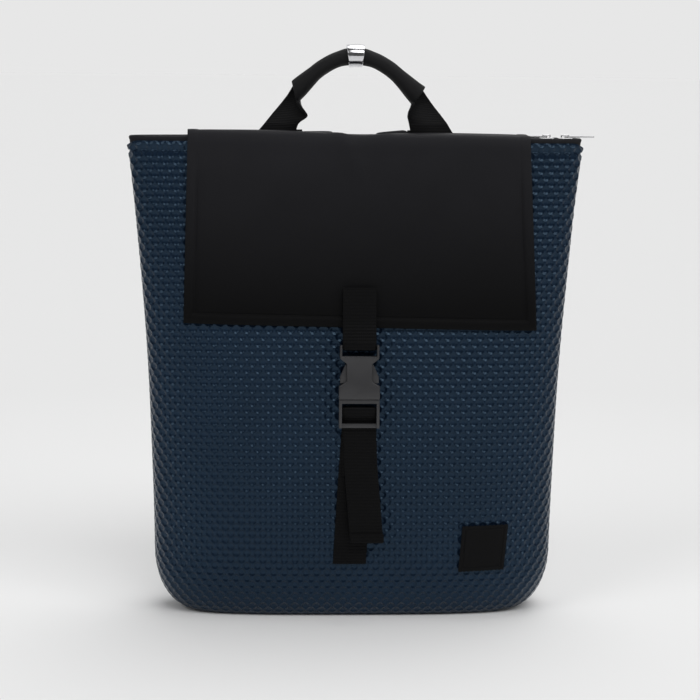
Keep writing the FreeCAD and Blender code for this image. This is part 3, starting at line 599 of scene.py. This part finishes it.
hide = {
    "step": 0.00118,
    "drop": 0.0028,  # how far the hide's edge stays below the black binding
    "hem": 0.0064,
    "groove": 0.0013,
    "puff": 0.0007,
    "thick": 0.0016,
    "inside": 0.009,
    "under": 0.016,
    "corner": 0.0042,
    "cornerReach": 0.010,
    "seam": 0.0008,
    "dent": 0.00025,  # broad, soft dents
    "floor": 0.0002,
}


def hidePiece(name, node, front):
    top, bend = bag["height"] - hide["drop"], bag["baseRound"]
    fine = np.linspace(top, bend, 600)
    angle = np.linspace(0, np.pi / 2, 300)[1:]
    levels = np.r_[fine, bend * (1 - np.sin(angle))]
    inset = np.r_[np.zeros(600), 0.025 * (1 - np.cos(angle))]
    length = np.r_[0, np.cumsum(np.hypot(np.diff(levels), np.diff(inset)))]
    count = int(length[-1] / hide["step"])
    run = np.linspace(0, length[-1], count)
    outer = np.interp(run, length, levels)
    thick = hide["thick"]
    inside = np.array([[top - hide["inside"], -thick], [top - 0.004, -thick], [top - 0.0004, -0.0013]])
    under = np.linspace(0.0015, hide["under"], 8)
    z = np.r_[inside[:, 0], outer, np.full(len(under), hide["floor"])]
    offset = np.r_[inside[:, 1], np.zeros(count), -under]
    distance = np.r_[-thick - (top - inside[:, 0]), run, run[-1] + under]
    columns = int(2 * (bag["topHalf"] + 0.02) / hide["step"])
    points, spread = bagRows(z, offset, front, columns)
    points[:, 0, 1] = points[:, -1, 1] = 0
    cloth = np.stack([spread, np.broadcast_to(-distance[:, None], spread.shape)], 2)

    normal = gridNormals(points)
    sign = np.sign((normal[..., 1] * (-1 if front else 1)).mean())
    normal *= sign

    def centreDistance(shift):
        a = spread / dimple["across"] + shift
        b = cloth[..., 1] / dimple["down"] + shift
        a, b = a - np.floor(a) - 0.5, b - np.floor(b) - 0.5
        return np.hypot(a * dimple["across"], b * dimple["down"]) / dimple["radius"]

    near = np.minimum(centreDistance(0.5), centreDistance(0.0))
    wall = np.clip((near - dimple["floor"]) / (1 - dimple["floor"]), 0, 1)
    pit = dimple["depth"] * (wall - 1)
    side = np.minimum(np.arange(columns), np.arange(columns)[::-1]) * hide["step"]
    row = distance[:, None]
    strength = np.clip((row + 0.0004) / 0.0016, 0, 1) * np.clip(z[:, None] / 0.004, 0, 1)
    hem = np.exp(-(((row - hide["hem"]) / 0.0011) ** 2))
    bulge = hide["puff"] * np.clip(1 - ((row - 0.003) / 0.0034) ** 2, 0, 1) * np.clip(side / 0.02, 0, 1)
    seam = np.exp(-((side[None, :] / 0.0014) ** 2))
    x, up = points[..., 0], points[..., 2]
    soft = hide["dent"] * (np.sin(x * 31 + up * 17) * np.sin(up * 26 - x * 9 + 1.0) - 1)
    soft = soft * np.clip(z[:, None] / 0.04, 0, 1) * np.clip((bag["height"] - z[:, None]) / 0.05, 0, 1)
    relief = pit * (1 - 0.6 * hem) - hide["groove"] * hem - hide["seam"] * seam
    push = strength * relief + bulge + soft * strength
    points += normal * np.where(row > 0, push, 0)[..., None]
    points[:, 0, 1] = points[:, -1, 1] = 0
    fromCorner = np.clip(1 - (bag["topHalf"] - np.abs(points[..., 0])) / hide["cornerReach"], 0, 1)
    points[..., 2] -= hide["corner"] * fromCorner**2 * np.clip(1 - np.abs(row) / 0.02, 0, 1)
    points[..., 2] = np.maximum(points[..., 2], hide["floor"])
    piece = woven(name, points, cloth)
    turnOut(piece, (0, -1 if front else 1, 0))
    return dress(piece, "hide", "bag", "embossed_hide", node, smooth=60)


hidePiece("frontHide", "front_shell", True)
hidePiece("backHide", "back_shell", False)
print("embossed body made")


flap = {
    "middle": 0.002,
    "topHalf": 0.1274,
    "lowHalf": 0.1320,
    "fold": 0.3585,
    "low": 0.2227,
    "stand": 0.0019,
    "thick": 0.0022,
    "hem": 0.0076,
    "ridge": 0.0010,
    "stitch": 0.0007,
    "ripple": 0.0007,
    "skew": math.radians(1.05),
    # the crown's corners from the rear seam to the fold, as depth and height, and their radii
    "crown": [(0.0186, 0.3622), (0.0118, 0.3657), (-0.0175, 0.3660), (-0.0203, 0.3582)],
    "crownRadii": [0, 0.007, 0.0045, 0.01],
    "bendFrom": (0, -0.0200, 0.3615),
    "bendTo": (0, -0.0215, 0.3520),
    "pucker": 0.0016,
    "dip": 0.0012,
}


def flapLine():
    # the flap's middle line, from the rear seam over the crown and down the front
    down = [(float(skinY(z, 0, flap["stand"])), z) for z in np.linspace(0.350, flap["low"], 12)]
    run = roundedRun(flap["crown"] + down, flap["crownRadii"] + [0.05] * len(down), 0.0005)
    return run, np.r_[0, np.cumsum(np.linalg.norm(np.diff(run, axis=0), axis=1))]


def flapRelief(x, z, fall, rim):
    # rolled hem and its stitch line, loose ripples, and the pucker at the middle of the top edge
    middle = flap["hem"] / 2
    flat = np.clip((fall - 0.045) / 0.03, 0.25, 1)
    ridge = flap["ridge"] * flat * np.clip(1 - ((rim - middle) / middle) ** 2, 0, 1) ** 0.6
    groove = -flap["stitch"] * flat * np.exp(-(((rim - flap["hem"] - 0.0004) / 0.0009) ** 2))
    ripple = flap["ripple"] * np.sin(x * 38 + z * 21) * np.sin(z * 47 - x * 11)
    past = fall - 0.042
    pucker = np.exp(-((past / 0.026) ** 2)) * (
        np.exp(-(((x - 0.001 + 0.42 * (0.03 - past)) / 0.007) ** 2))
        + 0.8 * np.exp(-(((x - 0.001 - 0.48 * (0.03 - past)) / 0.008) ** 2))
    )
    return ridge + groove + ripple * np.clip(rim / 0.01, 0, 1) * 0.8 + flap["pucker"] * pucker


def flapPiece():
    run, along = flapLine()
    total = along[-1]
    edge = np.linspace(0, 0.009, 13)
    lengths = np.r_[np.arange(0, total - 0.0095, 0.0028), total - edge[::-1]]
    y0, z0 = np.interp(lengths, along, run[:, 0]), np.interp(lengths, along, run[:, 1])
    share = np.r_[-1 + edge / 0.13, np.linspace(-0.91, 0.91, 80)[1:-1], 1 - edge[::-1] / 0.13]
    drop = np.clip((flap["fold"] - z0) / (flap["fold"] - flap["low"]), 0, 1)
    half = flap["topHalf"] + (flap["lowHalf"] - flap["topHalf"]) * drop
    x = share[None, :] * half[:, None]
    front = np.clip(-y0 / 0.018, 0, 1)[:, None]
    z = np.repeat(z0[:, None], len(share), 1)
    curve = skinY(z, x, flap["stand"]) - skinY(z, 0 * x, flap["stand"])
    y = y0[:, None] + curve * front
    fromSide = half[:, None] - np.abs(x)
    fromEnd = (total - lengths)[:, None] + 0 * x
    rim = np.minimum(fromSide, np.where(front > 0.5, fromEnd, 1.0))
    points = np.stack([x, y, z], 2)
    normal = gridNormals(points)
    if normal[-1, :, 1].mean() > 0:
        normal = -normal
    points += normal * flapRelief(x, z, lengths[:, None], rim)[..., None]
    sag = np.exp(-(((x + 0.002) / 0.03) ** 2)) * np.clip((z - 0.355) / 0.01, 0, 1)
    points[..., 2] -= flap["dip"] * sag
    lean = math.tan(flap["skew"])
    points[..., 2] -= x * lean * np.clip(0.35 + 0.65 * lengths[:, None] / 0.05, 0, 1)
    points[..., 0] += flap["middle"] + (0.3664 - z) * lean * 0.6
    cloth = np.stack([x, np.broadcast_to(lengths[:, None], x.shape)], 2)
    piece = woven("flapSheet", points, cloth)
    turnOut(piece, (0, -1, 0.3))
    modify(piece, "SOLIDIFY", thickness=flap["thick"], offset=-1)
    rounded(piece, 0.0007, 60)
    hems = ("flap_hem_left", "flap_hem_right", "flap_hem_low")
    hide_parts("flap_lid", "flap_front", "flap_lining", *hems)
    dress(piece, "flap", None, "flap_cloth", smooth=50)
    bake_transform(piece)
    return piece, total


flapSheet, flapLength = flapPiece()
print("flap made")


strap = {
    "middle": 0.0023,
    "width": 0.025,
    "thick": 0.0013,
    "mouth": 0.1703,
    "socket": 0.0405,
    "plug": 0.0214,
    "out": 0.0064,
    "tailLift": 0.0055,
}
mouthY = float(skinY(strap["mouth"], 0, strap["out"]))
above, beneath = strap["mouth"] + strap["socket"], strap["mouth"] - strap["plug"]
tilt = math.atan2(float(skinY(above, 0)) - float(skinY(beneath, 0)), above - beneath)


def onBuckle(along, out):
    c, s = math.cos(tilt), math.sin(tilt)
    return mouthY + along * s - out * c, strap["mouth"] + along * c + out * s


def onBag(z, offset):
    return float(skinY(z, strap["middle"], offset)), z


upperRun = roundedRun(
    [
        onBag(0.2515, 0.0046),
        onBag(0.2255, 0.0046),
        onBuckle(strap["socket"], -0.00225),
        onBuckle(0.03685, -0.00225),
        onBuckle(0.03685, 0.00225),
        onBuckle(0.0415, 0.00225),
        onBag(0.2270, 0.0062),
        onBag(0.2530, 0.0063),
    ],
    [0, 0.02, 0.02, 0.0015, 0.0015, 0.003, 0.006, 0],
)
webShape = (strap["width"], strap["thick"], strap["middle"])
upperWeb = strapMesh("upperWeb", upperRun, *webShape)
dress(upperWeb, "webbing", "flap_hanging", "webbing", "upper_webbing")

lowerRun = evened(np.array([onBag(z, 0.00095) for z in np.linspace(0.0445, 0.148, 9)]), 0.01)[0]
lowerSkew = ([0, 0.06, 0.105], [-0.0062, -0.003, 0])
lowerWeb = strapMesh("lowerWeb", lowerRun, *webShape, lowerSkew)
dress(lowerWeb, "webbing", "bag", "webbing", "lower_webbing")

tailRun = roundedRun(
    [
        onBag(0.112, 0.00255),
        onBuckle(-0.0152, -0.00385),
        onBuckle(-0.0102, -0.00195),
        onBuckle(-0.00605, -0.00195),
        onBuckle(-0.00605, 0.00195),
        onBuckle(-0.0112, 0.00195),
        onBuckle(-0.0168, -0.00225),
        onBag(0.142, 0.00395),
        onBag(0.102, 0.00395),
        onBag(0.0633, 0.0041),
        onBag(0.0633, 0.0056),
        onBag(0.0696, 0.0056),
    ],
    [0, 0.004, 0.003, 0.0014, 0.0014, 0.002, 0.002, 0.012, 0.5, 0.0007, 0.0007, 0],
)
tailRun = evened(tailRun, 0.004)[0]
# the loose end stands a little away from the bag
hanging = np.clip((0.135 - tailRun[:, 1]) / 0.07, 0, 1) * (np.arange(len(tailRun)) > len(tailRun) * 0.4)
tailRun[:, 0] -= strap["tailLift"] * hanging**1.5
tailSkew = ([0, 0.06, 0.1, 0.16], [0, 0, 0.0015, 0.0065])
tailWeb = strapMesh("tailWeb", tailRun, *webShape, tailSkew)
dress(tailWeb, "webbing", "buckle_plug", "webbing", "tail_webbing")

softened("buckle_socket", "buckleSocket", 0.0007, "buckle", "flap_hanging", "buckle_plastic")
softened("plug_frame", "plugFrame", 0.0006, "buckle", "buckle_plug", "buckle_plastic")
softened("plug_arm_left", "plugArmLeft", 0.0005, "buckle", "plug_arm_l", "buckle_plastic")
softened("plug_arm_right", "plugArmRight", 0.0005, "buckle", "plug_arm_r", "buckle_plastic")
print("front strap made")


zipper = {"bindingLow": 0.0100, "bindingHigh": 0.0003, "arch": 0.0012, "crown": 0.0012, "chain": 0.0016}


def rimBinding():
    # black cloth edge that stands inside the hide's rim and turns in to the zip
    top = bag["height"]
    profile = [(-0.0021, top - zipper["bindingLow"]), (-0.0020, top - 0.003), (-0.0016, top - 0.0006)]
    profile += [(-0.0022, top + zipper["bindingHigh"]), (-0.0034, top + 0.0002), (-0.0042, top - 0.0006)]
    rows, spreads = [], []
    for offset, z in profile:
        front, _ = bagRows([z], [offset], True, 221)
        back, _ = bagRows([z], [offset], False, 221)
        ring = np.concatenate([front[0], back[0][::-1][1:]])
        rows.append(ring)
        spreads.append(np.r_[0, np.cumsum(np.linalg.norm(np.diff(ring, axis=0), axis=1))])
    points = np.array(rows)
    arch = zipper["arch"] * np.cos(points[..., 0] / bag["topHalf"] * np.pi / 2)
    points[..., 2] += arch * np.linspace(0, 1, len(profile))[:, None]
    cloth = np.stack([np.array(spreads), np.repeat(points[:, :1, 2], points.shape[1], 1)], 2)
    piece = woven("rimBinding", points, cloth, closed=True)
    dress(piece, "flap", "bag", "zip_tape", smooth=60)


rimBinding()


def zipTape(name, node, side):
    # one half of the zip's tape, slightly crowned between the chain and the binding
    half = bag["topHalf"] - 0.003
    x = np.linspace(-half, half, 160)
    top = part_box(node)[1].z
    rim = np.abs(skinY(bag["height"] - 0.001, x, -0.0019, side < 0))
    share = np.linspace(0, 1, 9)[:, None]
    y = zipper["chain"] + (np.maximum(rim, zipper["chain"] + 0.0002) - zipper["chain"])[None, :] * share
    z = top + zipper["crown"] * np.sin(np.pi * np.clip(share * 1.15, 0, 1)) * (rim / rim.max())[None, :]
    points = np.stack([np.broadcast_to(x, y.shape), side * y, z], 2)
    cloth = np.stack([np.broadcast_to(x, y.shape), y], 2)
    piece = woven(name, points, cloth)
    turnOut(piece, (0, 0, 1))
    modify(piece, "SOLIDIFY", thickness=0.0008, offset=-1)
    return dress(piece, "tape", "bag", "zip_tape", node, smooth=50)


zipTape("zipTapeFront", "zip_tape_front", -1)
zipTape("zipTapeBack", "zip_tape_back", 1)

zipParts = {
    "zip_stop_left": ("zipStopLeft", "bag", 0.0003),
    "zip_stop_right": ("zipStopRight", "bag", 0.0003),
    "zip_slider_inner": ("sliderInner", "inner_slider", 0.00035),
    "zip_slider_outer": ("sliderOuter", "outer_slider", 0.00035),
    "zip_slider_under_inner": ("sliderUnderInner", "inner_slider", 0.0003),
    "zip_slider_under_outer": ("sliderUnderOuter", "outer_slider", 0.0003),
    "zip_pull_inner": ("pullInner", "inner_pull", 0.0003),
    "zip_pull_outer": ("pullOuter", "outer_pull", 0.0003),
}
for node, (name, body, width) in zipParts.items():
    softened(node, name, width, "zipMetal", body, "zip_metal")
print("zip made")


label = {
    "size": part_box("label_patch")[1].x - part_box("label_patch")[0].x,
    "middle": (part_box("label_patch")[0].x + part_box("label_patch")[1].x) / 2,
    "height": (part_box("label_patch")[0].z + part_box("label_patch")[1].z) / 2,
    "stand": 0.0014,
    "shear": 0.085,
    "frame": 0.0028,  # from the edge to its stitch line
    "stitch": 0.0005,
    "puff": 0.0004,
    "wave": 0.0003,
    "thick": 0.0011,
}


def labelPatch():
    count = 71
    u = np.linspace(-0.5, 0.5, count) * label["size"]
    across, up = np.meshgrid(u, u[::-1])
    x = label["middle"] + across + label["shear"] * up
    z = label["height"] + up + 0.02 * across
    ragged = 0.00025 * np.sin(across * 2100) * (np.abs(up) > label["size"] / 2 - 1e-6)
    z = z + ragged
    toEdge = label["size"] / 2 - np.maximum(np.abs(across), np.abs(up))
    seam = -label["stitch"] * np.exp(-(((toEdge - label["frame"]) / label["stitch"]) ** 2))
    waves = np.sin(across * 160) * np.sin(up * 140)
    puff = label["puff"] * np.clip(toEdge / 0.002, 0, 1) + label["wave"] * waves
    y = skinY(z, x, label["stand"] + seam + puff)
    points = np.stack([x, y, z], 2)
    piece = woven("labelPatch", points, np.stack([across, up], 2))
    turnOut(piece, (0, -1, 0))
    modify(piece, "SOLIDIFY", thickness=label["thick"], offset=-1)
    return dress(piece, "patch", "bag", "patch_cloth", "label_patch", smooth=45)


labelPatch()
print("label made")


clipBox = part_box("handle_clip")
handle = {
    "y": (clipBox[0].y + clipBox[1].y) / 2,
    "top": (clipBox[0].z + clipBox[1].z) / 2 - 0.0004,
    "curve": 0.0735,
    "straight": 0.035,  # beyond this the arch runs straight
    "ends": (-0.0462, 0.0484),
    "endAim": {-1: (0.247, 0.969), 1: (0.58, 0.815)},
    "foot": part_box("handle_leg_left")[0].z - 0.0022,
    "web": 0.031,
    "thick": 0.0018,
    "gripHigh": 0.0058,
    "gripDeep": 0.0074,
    "gripFlare": 0.0027,
    "tabX": 0.056,
    "tabWidth": 0.032,
    "tabThick": 0.0014,
}


def archZ(x):
    bent = np.minimum(np.abs(x), handle["straight"])
    past = np.abs(x) - bent
    return handle["top"] - bent**2 / handle["curve"] - past * 2 * bent / handle["curve"]


def gripSleeve():
    rings, rim = 121, 40
    x = np.linspace(*handle["ends"], rings)
    z = archZ(x)
    slope = np.gradient(z, x)
    length = np.hypot(1, slope)
    radial = np.stack([-slope / length, 1 / length], 1)
    for k in range(rings):
        near = np.clip((abs(x[k] / handle["ends"][int(x[k] > 0)]) - 0.72) / 0.28, 0, 1) ** 2
        sign = -1 if x[k] < 0 else 1
        end = np.array(handle["endAim"][sign]) * (sign, 1)
        aim = radial[k] * (1 - near) + end * near
        radial[k] = aim / np.linalg.norm(aim)
    share = np.abs(x) / np.where(x < 0, -handle["ends"][0], handle["ends"][1])
    bulge = 0.0006 * np.exp(-(((share - 0.13) / 0.1) ** 2))
    flare = handle["gripFlare"] * np.clip((share - 0.66) / 0.34, 0, 1) ** 1.2
    high = handle["gripHigh"] + bulge + flare
    deep = handle["gripDeep"] + 0.0004 * share
    angle = np.linspace(0, 2 * np.pi, rim + 1)
    wrinkle = 1 + 0.012 * np.sin(9 * angle[None, :] + x[:, None] * 260) * np.sin(x[:, None] * 330)
    wrinkle[:, -1] = wrinkle[:, 0]
    out = high[:, None] * np.cos(angle)[None, :] * wrinkle
    side = deep[:, None] * np.sin(angle)[None, :] * wrinkle
    points = np.zeros((rings, rim + 1, 3))
    points[..., 0] = x[:, None] + radial[:, 0:1] * out
    points[..., 1] = handle["y"] + side
    points[..., 2] = z[:, None] + radial[:, 1:2] * out
    points[:, -1] = points[:, 0]
    around = np.broadcast_to(angle * 0.0065, (rings, rim + 1))
    along = np.broadcast_to((x * 1.15)[:, None], (rings, rim + 1))
    piece = woven("gripSleeve", points, np.stack([around, along], 2), closed=True, caps=True)
    edit(piece, (bpy.ops.mesh.normals_make_consistent, {"inside": False}))
    rounded(piece, 0.0009, 50, segments=3)
    return dress(piece, "handle", "handle", "handle_cloth", "handle_grip", "handle_core", smooth=50)


gripSleeve()
softened("handle_clip", "gripClip", 0.0005, "clipMetal", "handle", "clip_metal", angle=40)

# share of the height, then outer edge, spine and free edge across, then how far the free half turns forward
legForm = {
    "left": [
        (0.00, -0.0742, -0.0595, -0.0450, 0.0000),
        (0.22, -0.0682, -0.0545, -0.0430, 0.0015),
        (0.42, -0.0630, -0.0480, -0.0360, 0.0060),
        (0.60, -0.0575, -0.0450, -0.0395, 0.0088),
        (0.80, -0.0515, -0.0430, -0.0435, 0.0090),
        (1.00, -0.0470, -0.0420, -0.0450, 0.0050),
    ],
    "right": [
        (0.00, 0.0748, 0.0590, 0.0425, 0.0000),
        (0.22, 0.0705, 0.0555, 0.0412, 0.0012),
        (0.42, 0.0655, 0.0510, 0.0400, 0.0050),
        (0.60, 0.0605, 0.0475, 0.0410, 0.0080),
        (0.80, 0.0550, 0.0450, 0.0440, 0.0090),
        (1.00, 0.0500, 0.0430, 0.0455, 0.0050),
    ],
}


def smoothed(stops, wanted):
    # values between stops, eased so that the run has no corners
    stops = np.array(stops)
    fine = np.linspace(0, 1, 101)
    made = []
    for column in range(1, stops.shape[1]):
        values = np.interp(fine, stops[:, 0], stops[:, column])
        padded = np.pad(values, 8, "reflect", reflect_type="odd")
        values = np.convolve(padded, np.hanning(17) / np.hanning(17).sum(), "valid")
        made.append(np.interp(wanted, fine, values))
    return made


def handleLeg(name, side):
    rows, columns = 61, 45
    t = np.linspace(0, 1, rows)
    outer, spine, free, turned = smoothed(legForm[side], t)
    topZ = archZ(handle["ends"][0]) + 0.0005
    z = handle["foot"] + (topZ - handle["foot"]) * t
    rear = handle["y"] + 0.0046 * np.clip(t * 2 - 0.4, 0, 1)
    v = np.linspace(0, 1, columns)[None, :]
    bend = 2 * spine - (outer + free) / 2
    a, b, c = ((1 - v) ** 2, 2 * v * (1 - v), v**2)
    x = a * outer[:, None] + b * bend[:, None] + c * free[:, None]
    yOuter, yFree = rear, rear - 1.35 * turned
    ySpine = rear - 0.15 * turned
    yBend = 2 * ySpine - (yOuter + yFree) / 2
    y = a * yOuter[:, None] + b * yBend[:, None] + c * yFree[:, None]
    lift = a * 0.0045 * (t[:, None] ** 2) - c * 0.004 * (t[:, None] ** 2)
    zz = z[:, None] + lift + 0 * v
    points = np.stack([x, y, zz], 2)
    up = (z - z[0])[:, None]
    cloth = np.stack([np.broadcast_to(v * handle["web"], x.shape), np.broadcast_to(up, x.shape)], 2)
    piece = woven(name, points, cloth)
    turnOut(piece, (0, -1, 0))
    modify(piece, "SOLIDIFY", thickness=handle["thick"], offset=0)
    rounded(piece, 0.0006, 60)
    return dress(piece, "handleWeb", "handle", "webbing", f"handle_leg_{side}", smooth=60)


for side in ("left", "right"):
    handleLeg(f"handleLeg{side.title()}", side)
print("handle made")


back = {
    "swell": 0.0035,
    "pressure": 4.0,
    "voxel": {"pad": 0.0026, "strap": 0.004},
    "shrink": {"pad": 0.0002, "strap": 0.0012},
    "moments": 20,
    "quilt": (-0.027, 0.027),
}


def plump(piece, limit, keepOff, voxel):
    # fill a pad: swell its remeshed cloth, but no further than a limit and not into the bag
    modify(piece, "REMESH", mode="VOXEL", voxel_size=voxel)
    rest = readPoints(piece.data)
    only(piece)
    cloth = piece.modifiers.new("fill", "CLOTH")
    cloth.settings.use_pressure = True
    cloth.settings.uniform_pressure_force = back["pressure"]
    cloth.settings.effector_weights.gravity = 0
    cloth.point_cache.frame_end = back["moments"]
    for moment in range(1, back["moments"] + 1):
        scene.frame_set(moment)
    moved = readPoints(piece.evaluated_get(bpy.context.evaluated_depsgraph_get()).to_mesh())
    piece.evaluated_get(bpy.context.evaluated_depsgraph_get()).to_mesh_clear()
    piece.modifiers.clear()
    scene.frame_set(1)
    step = moved - rest
    far = np.maximum(np.linalg.norm(step, axis=1, keepdims=True), 1e-9)
    rest = rest + step * np.minimum(1, limit / far)
    floorY = skinY(rest[:, 2], rest[:, 0], keepOff, False)
    rest[:, 1] = np.maximum(rest[:, 1], floorY)
    writePoints(piece.data, rest)
    modify(piece, "SUBSURF", levels=1, render_levels=1)


def shrunkCopy(node, name, inset):
    # a copy of a pad's node with its doubles merged, drawn in a little before it is filled
    piece = ownCopy(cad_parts[node], name)
    edit(piece, (bpy.ops.mesh.remove_doubles, {"threshold": 1e-6}))
    edit(piece, (bpy.ops.transform.shrink_fatten, {"value": -inset}))
    return piece


def backPad():
    piece = shrunkCopy("back_pad", "backPad", back["shrink"]["pad"])
    plump(piece, back["swell"], 0.0003, back["voxel"]["pad"])
    low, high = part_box("back_pad")
    middle = (low.x + high.x) / 2

    def quilt(at):
        outward = np.clip((at[:, 1] - skinY(at[:, 2], at[:, 0], 0.002, False)) / 0.003, 0, 1)
        for line in back["quilt"]:
            at[:, 1] -= 0.0026 * outward * np.exp(-(((at[:, 0] - middle - line) / 0.0026) ** 2))
        fromEnds = np.minimum(at[:, 2] - low.z, high.z - at[:, 2])
        border = np.minimum(high.x - np.abs(at[:, 0] - middle), fromEnds)
        at[:, 1] -= 0.0022 * outward * np.exp(-(((border - 0.008) / 0.0022) ** 2))
        return at

    nudge(piece, quilt)
    dress(piece, "pad", "bag", "pad_cloth", "back_pad", smooth=60)


backPad()


def shoulderStrap(side):
    # the right strap is filled, and the left one is its mirror image
    name = f"shoulderStrap{side.title()}"
    if side == "right":
        piece = shrunkCopy("shoulder_strap_right", name, back["shrink"]["strap"])
        plump(piece, back["swell"] * 0.7, 0.0056, back["voxel"]["strap"])
    else:
        piece = ownCopy(bpy.data.objects["shoulderStrapRight"], name)
        nudge(piece, lambda at: at * np.array([-1.0, 1.0, 1.0]))
        edit(piece, (bpy.ops.mesh.normals_make_consistent, {"inside": False}))
    return piece


def topEdge(piece, sign, stops):
    # lift a strap's rounded top to the line it shows over the flap
    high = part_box("shoulder_strap_right")[1].z
    middle, flat, corner = 0.029, 0.011, 0.014
    line = np.array(stops)

    def lifted(at):
        x = at[:, 0] * sign
        past = np.clip(np.abs(x - middle) - flat, 0, corner)
        now = high - corner + np.sqrt(corner**2 - past**2)
        near = np.clip((at[:, 2] - (now - 0.05)) / 0.05, 0, 1) ** 2
        at[:, 2] += near * (np.interp(x, line[:, 0], line[:, 1]) - now)
        return at

    nudge(piece, lifted)


shoulderTops = {
    "right": [(0.002, 0.3655), (0.038, 0.3704), (0.042, 0.3685), (0.054, 0.3655)],
    "left": [(0.003, 0.3640), (0.0063, 0.3684), (0.040, 0.3688), (0.044, 0.3675), (0.054, 0.3655)],
}
shoulders = {side: shoulderStrap(side) for side in ("right", "left")}
for side, piece in shoulders.items():
    topEdge(piece, 1 if side == "right" else -1, shoulderTops[side])
    dress(piece, "pad", "bag", "pad_cloth", f"shoulder_strap_{side}", smooth=60)

lower = {
    "endX": 0.084,
    "endZ": 0.118,
    "anchorX": bag["lowHalf"] - 0.033,
    "anchorZ": 0.034,
    "middle": 0.0099,
    "behind": 0.00275,
    "drop": 0.009,
    "bar": 0.0024,
    "slot": 0.005,
    "wrap": 0.00095,  # from a bar to the middle of the webbing round it
    "anchorOff": 0.0024,
    "anchorWidth": 0.029,
    "anchorThick": 0.0010,
}


def hangLower(points, sign):
    # from the lower strap's own axis to its place at the end of the shoulder strap
    away = np.array([lower["anchorX"] - lower["endX"], lower["anchorZ"] - lower["endZ"]])
    lean = math.atan2(away[0], -away[1])
    c, s = math.cos(lean), math.sin(lean)
    x, z = points[..., 0] * c - points[..., 2] * s, points[..., 0] * s + points[..., 2] * c
    startY = float(skinY(lower["endZ"], lower["endX"], 0.0, False))
    return np.stack([sign * (x + lower["endX"]), points[..., 1] + startY, z + lower["endZ"]], -1)


def lowerStraps(side):
    sign = 1 if side == "right" else -1
    mid, off, wrap = lower["middle"], lower["behind"], lower["wrap"]
    first = -lower["drop"] - lower["bar"]
    second = first - lower["slot"] - lower["bar"]
    third = second - lower["slot"] - lower["bar"]
    length = math.hypot(lower["anchorX"] - lower["endX"], lower["anchorZ"] - lower["endZ"])
    turn = first - wrap
    loop = [(mid - off, -0.0003), (mid - off, turn), (mid + off, turn), (mid + off, -0.0003)]
    loopRun = roundedRun(loop, [0, 0.0014, 0.0014, 0])
    near = lower["anchorOff"] + wrap
    climb = second + lower["bar"] + wrap
    tail = [
        (near, -length - 0.006),
        (near, -length + 0.008),
        (mid - off, third - 0.006),
        (mid - off, climb),
        (mid + off, climb),
        (mid + off, third - 0.004),
        (mid + off - 0.002, third - 0.034),
    ]
    tailRun = roundedRun(tail, [0, 0.010, 0.006, 0.0014, 0.0014, 0.006, 0])
    patch = np.array([(0.0019, -length - 0.009), (0.0019, -length + 0.016)])

    def carry(points):
        return hangLower(points, sign)

    for name, node, run, width, thick in (
        ("strapLoop", "strap_loop", loopRun, strap["width"], strap["thick"]),
        ("strapTail", "strap_webbing", tailRun, strap["width"], strap["thick"]),
        ("strapAnchor", "strap_anchor", patch, lower["anchorWidth"], lower["anchorThick"]),
    ):
        piece = strapMesh(f"{name}{side.title()}", run, width, thick, carry=carry)
        dress(piece, "webbing", "bag", "webbing", f"{node}_{side}")
    adjuster = f"strapAdjuster{side.title()}"
    softened(f"strap_adjuster_{side}", adjuster, 0.0006, "buckle", "bag", "buckle_plastic")


for side in ("left", "right"):
    lowerStraps(side)

tabLow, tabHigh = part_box("handle_tab_left")
tabLevels = np.linspace(tabLow.z, 0.362, 6)
tabRun = [(float(skinY(z, handle["tabX"], 0.0047, False)), z) for z in tabLevels]
tabRun = np.array(tabRun + [(tabRun[-1][0], tabHigh.z)])
for side, sign in (("left", -1), ("right", 1)):
    tabShape = (handle["tabWidth"], handle["tabThick"], sign * handle["tabX"])
    piece = strapMesh(f"handleTab{side.title()}", tabRun, *tabShape)
    dress(piece, "handleWeb", "bag", "webbing", f"handle_tab_{side}")

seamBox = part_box("flap_seam_tab")


def seamTab():
    x = np.linspace(seamBox[0].x, seamBox[1].x, 90)
    z = np.linspace(seamBox[1].z, seamBox[0].z, 20)
    across, up = np.meshgrid(x, z)
    stitch = -0.0004 * np.exp(-(((up - seamBox[0].z - 0.004) / 0.0006) ** 2))
    y = skinY(up, across, 0.0024 + stitch, False)
    piece = woven("seamTab", np.stack([across, y, up], 2), np.stack([across, up], 2))
    turnOut(piece, (0, 1, 0))
    modify(piece, "SOLIDIFY", thickness=0.002, offset=-1)
    rounded(piece, 0.0005, 60)
    dress(piece, "flap", "bag", "flap_cloth", "flap_seam_tab", smooth=50)


seamTab()
print("back made")


# finishes for the nodes that stay as they are
plain = {
    "board": ["base_board"],
    "lining": ["lining_front", "lining_back", "lining_floor"],
    "hide": ["base_panel"],
    "teeth": ["zip_teeth_front", "zip_teeth_back"],
}
for finish, members in plain.items():
    for node in members:
        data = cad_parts[node].data
        data.materials.clear()
        data.materials.append(finishes[finish])


bpy.ops.mesh.primitive_grid_add(x_subdivisions=4, y_subdivisions=4, size=studio["floorSize"])
floor = bpy.context.object
floor.name = "floor"
paper = Finish("paper", Roughness=0.9)
axes = paper.axes(paper.place())
# painted light: a little paler round the bag, to make up for the light the bag keeps off the floor
far = (axes[0] * axes[0] + axes[1] * axes[1]) ** 0.5 / studio["reach"]
floorAndPaintedLight = [(studio[k],) * 3 for k in ("nearPaintedLight", "floorTone")]
shade = paper.blend(far.maths("MINIMUM", 1.0), *floorAndPaintedLight)
floor.data.materials.append(paper.feed(Base_Color=shade))

print("scene ready")
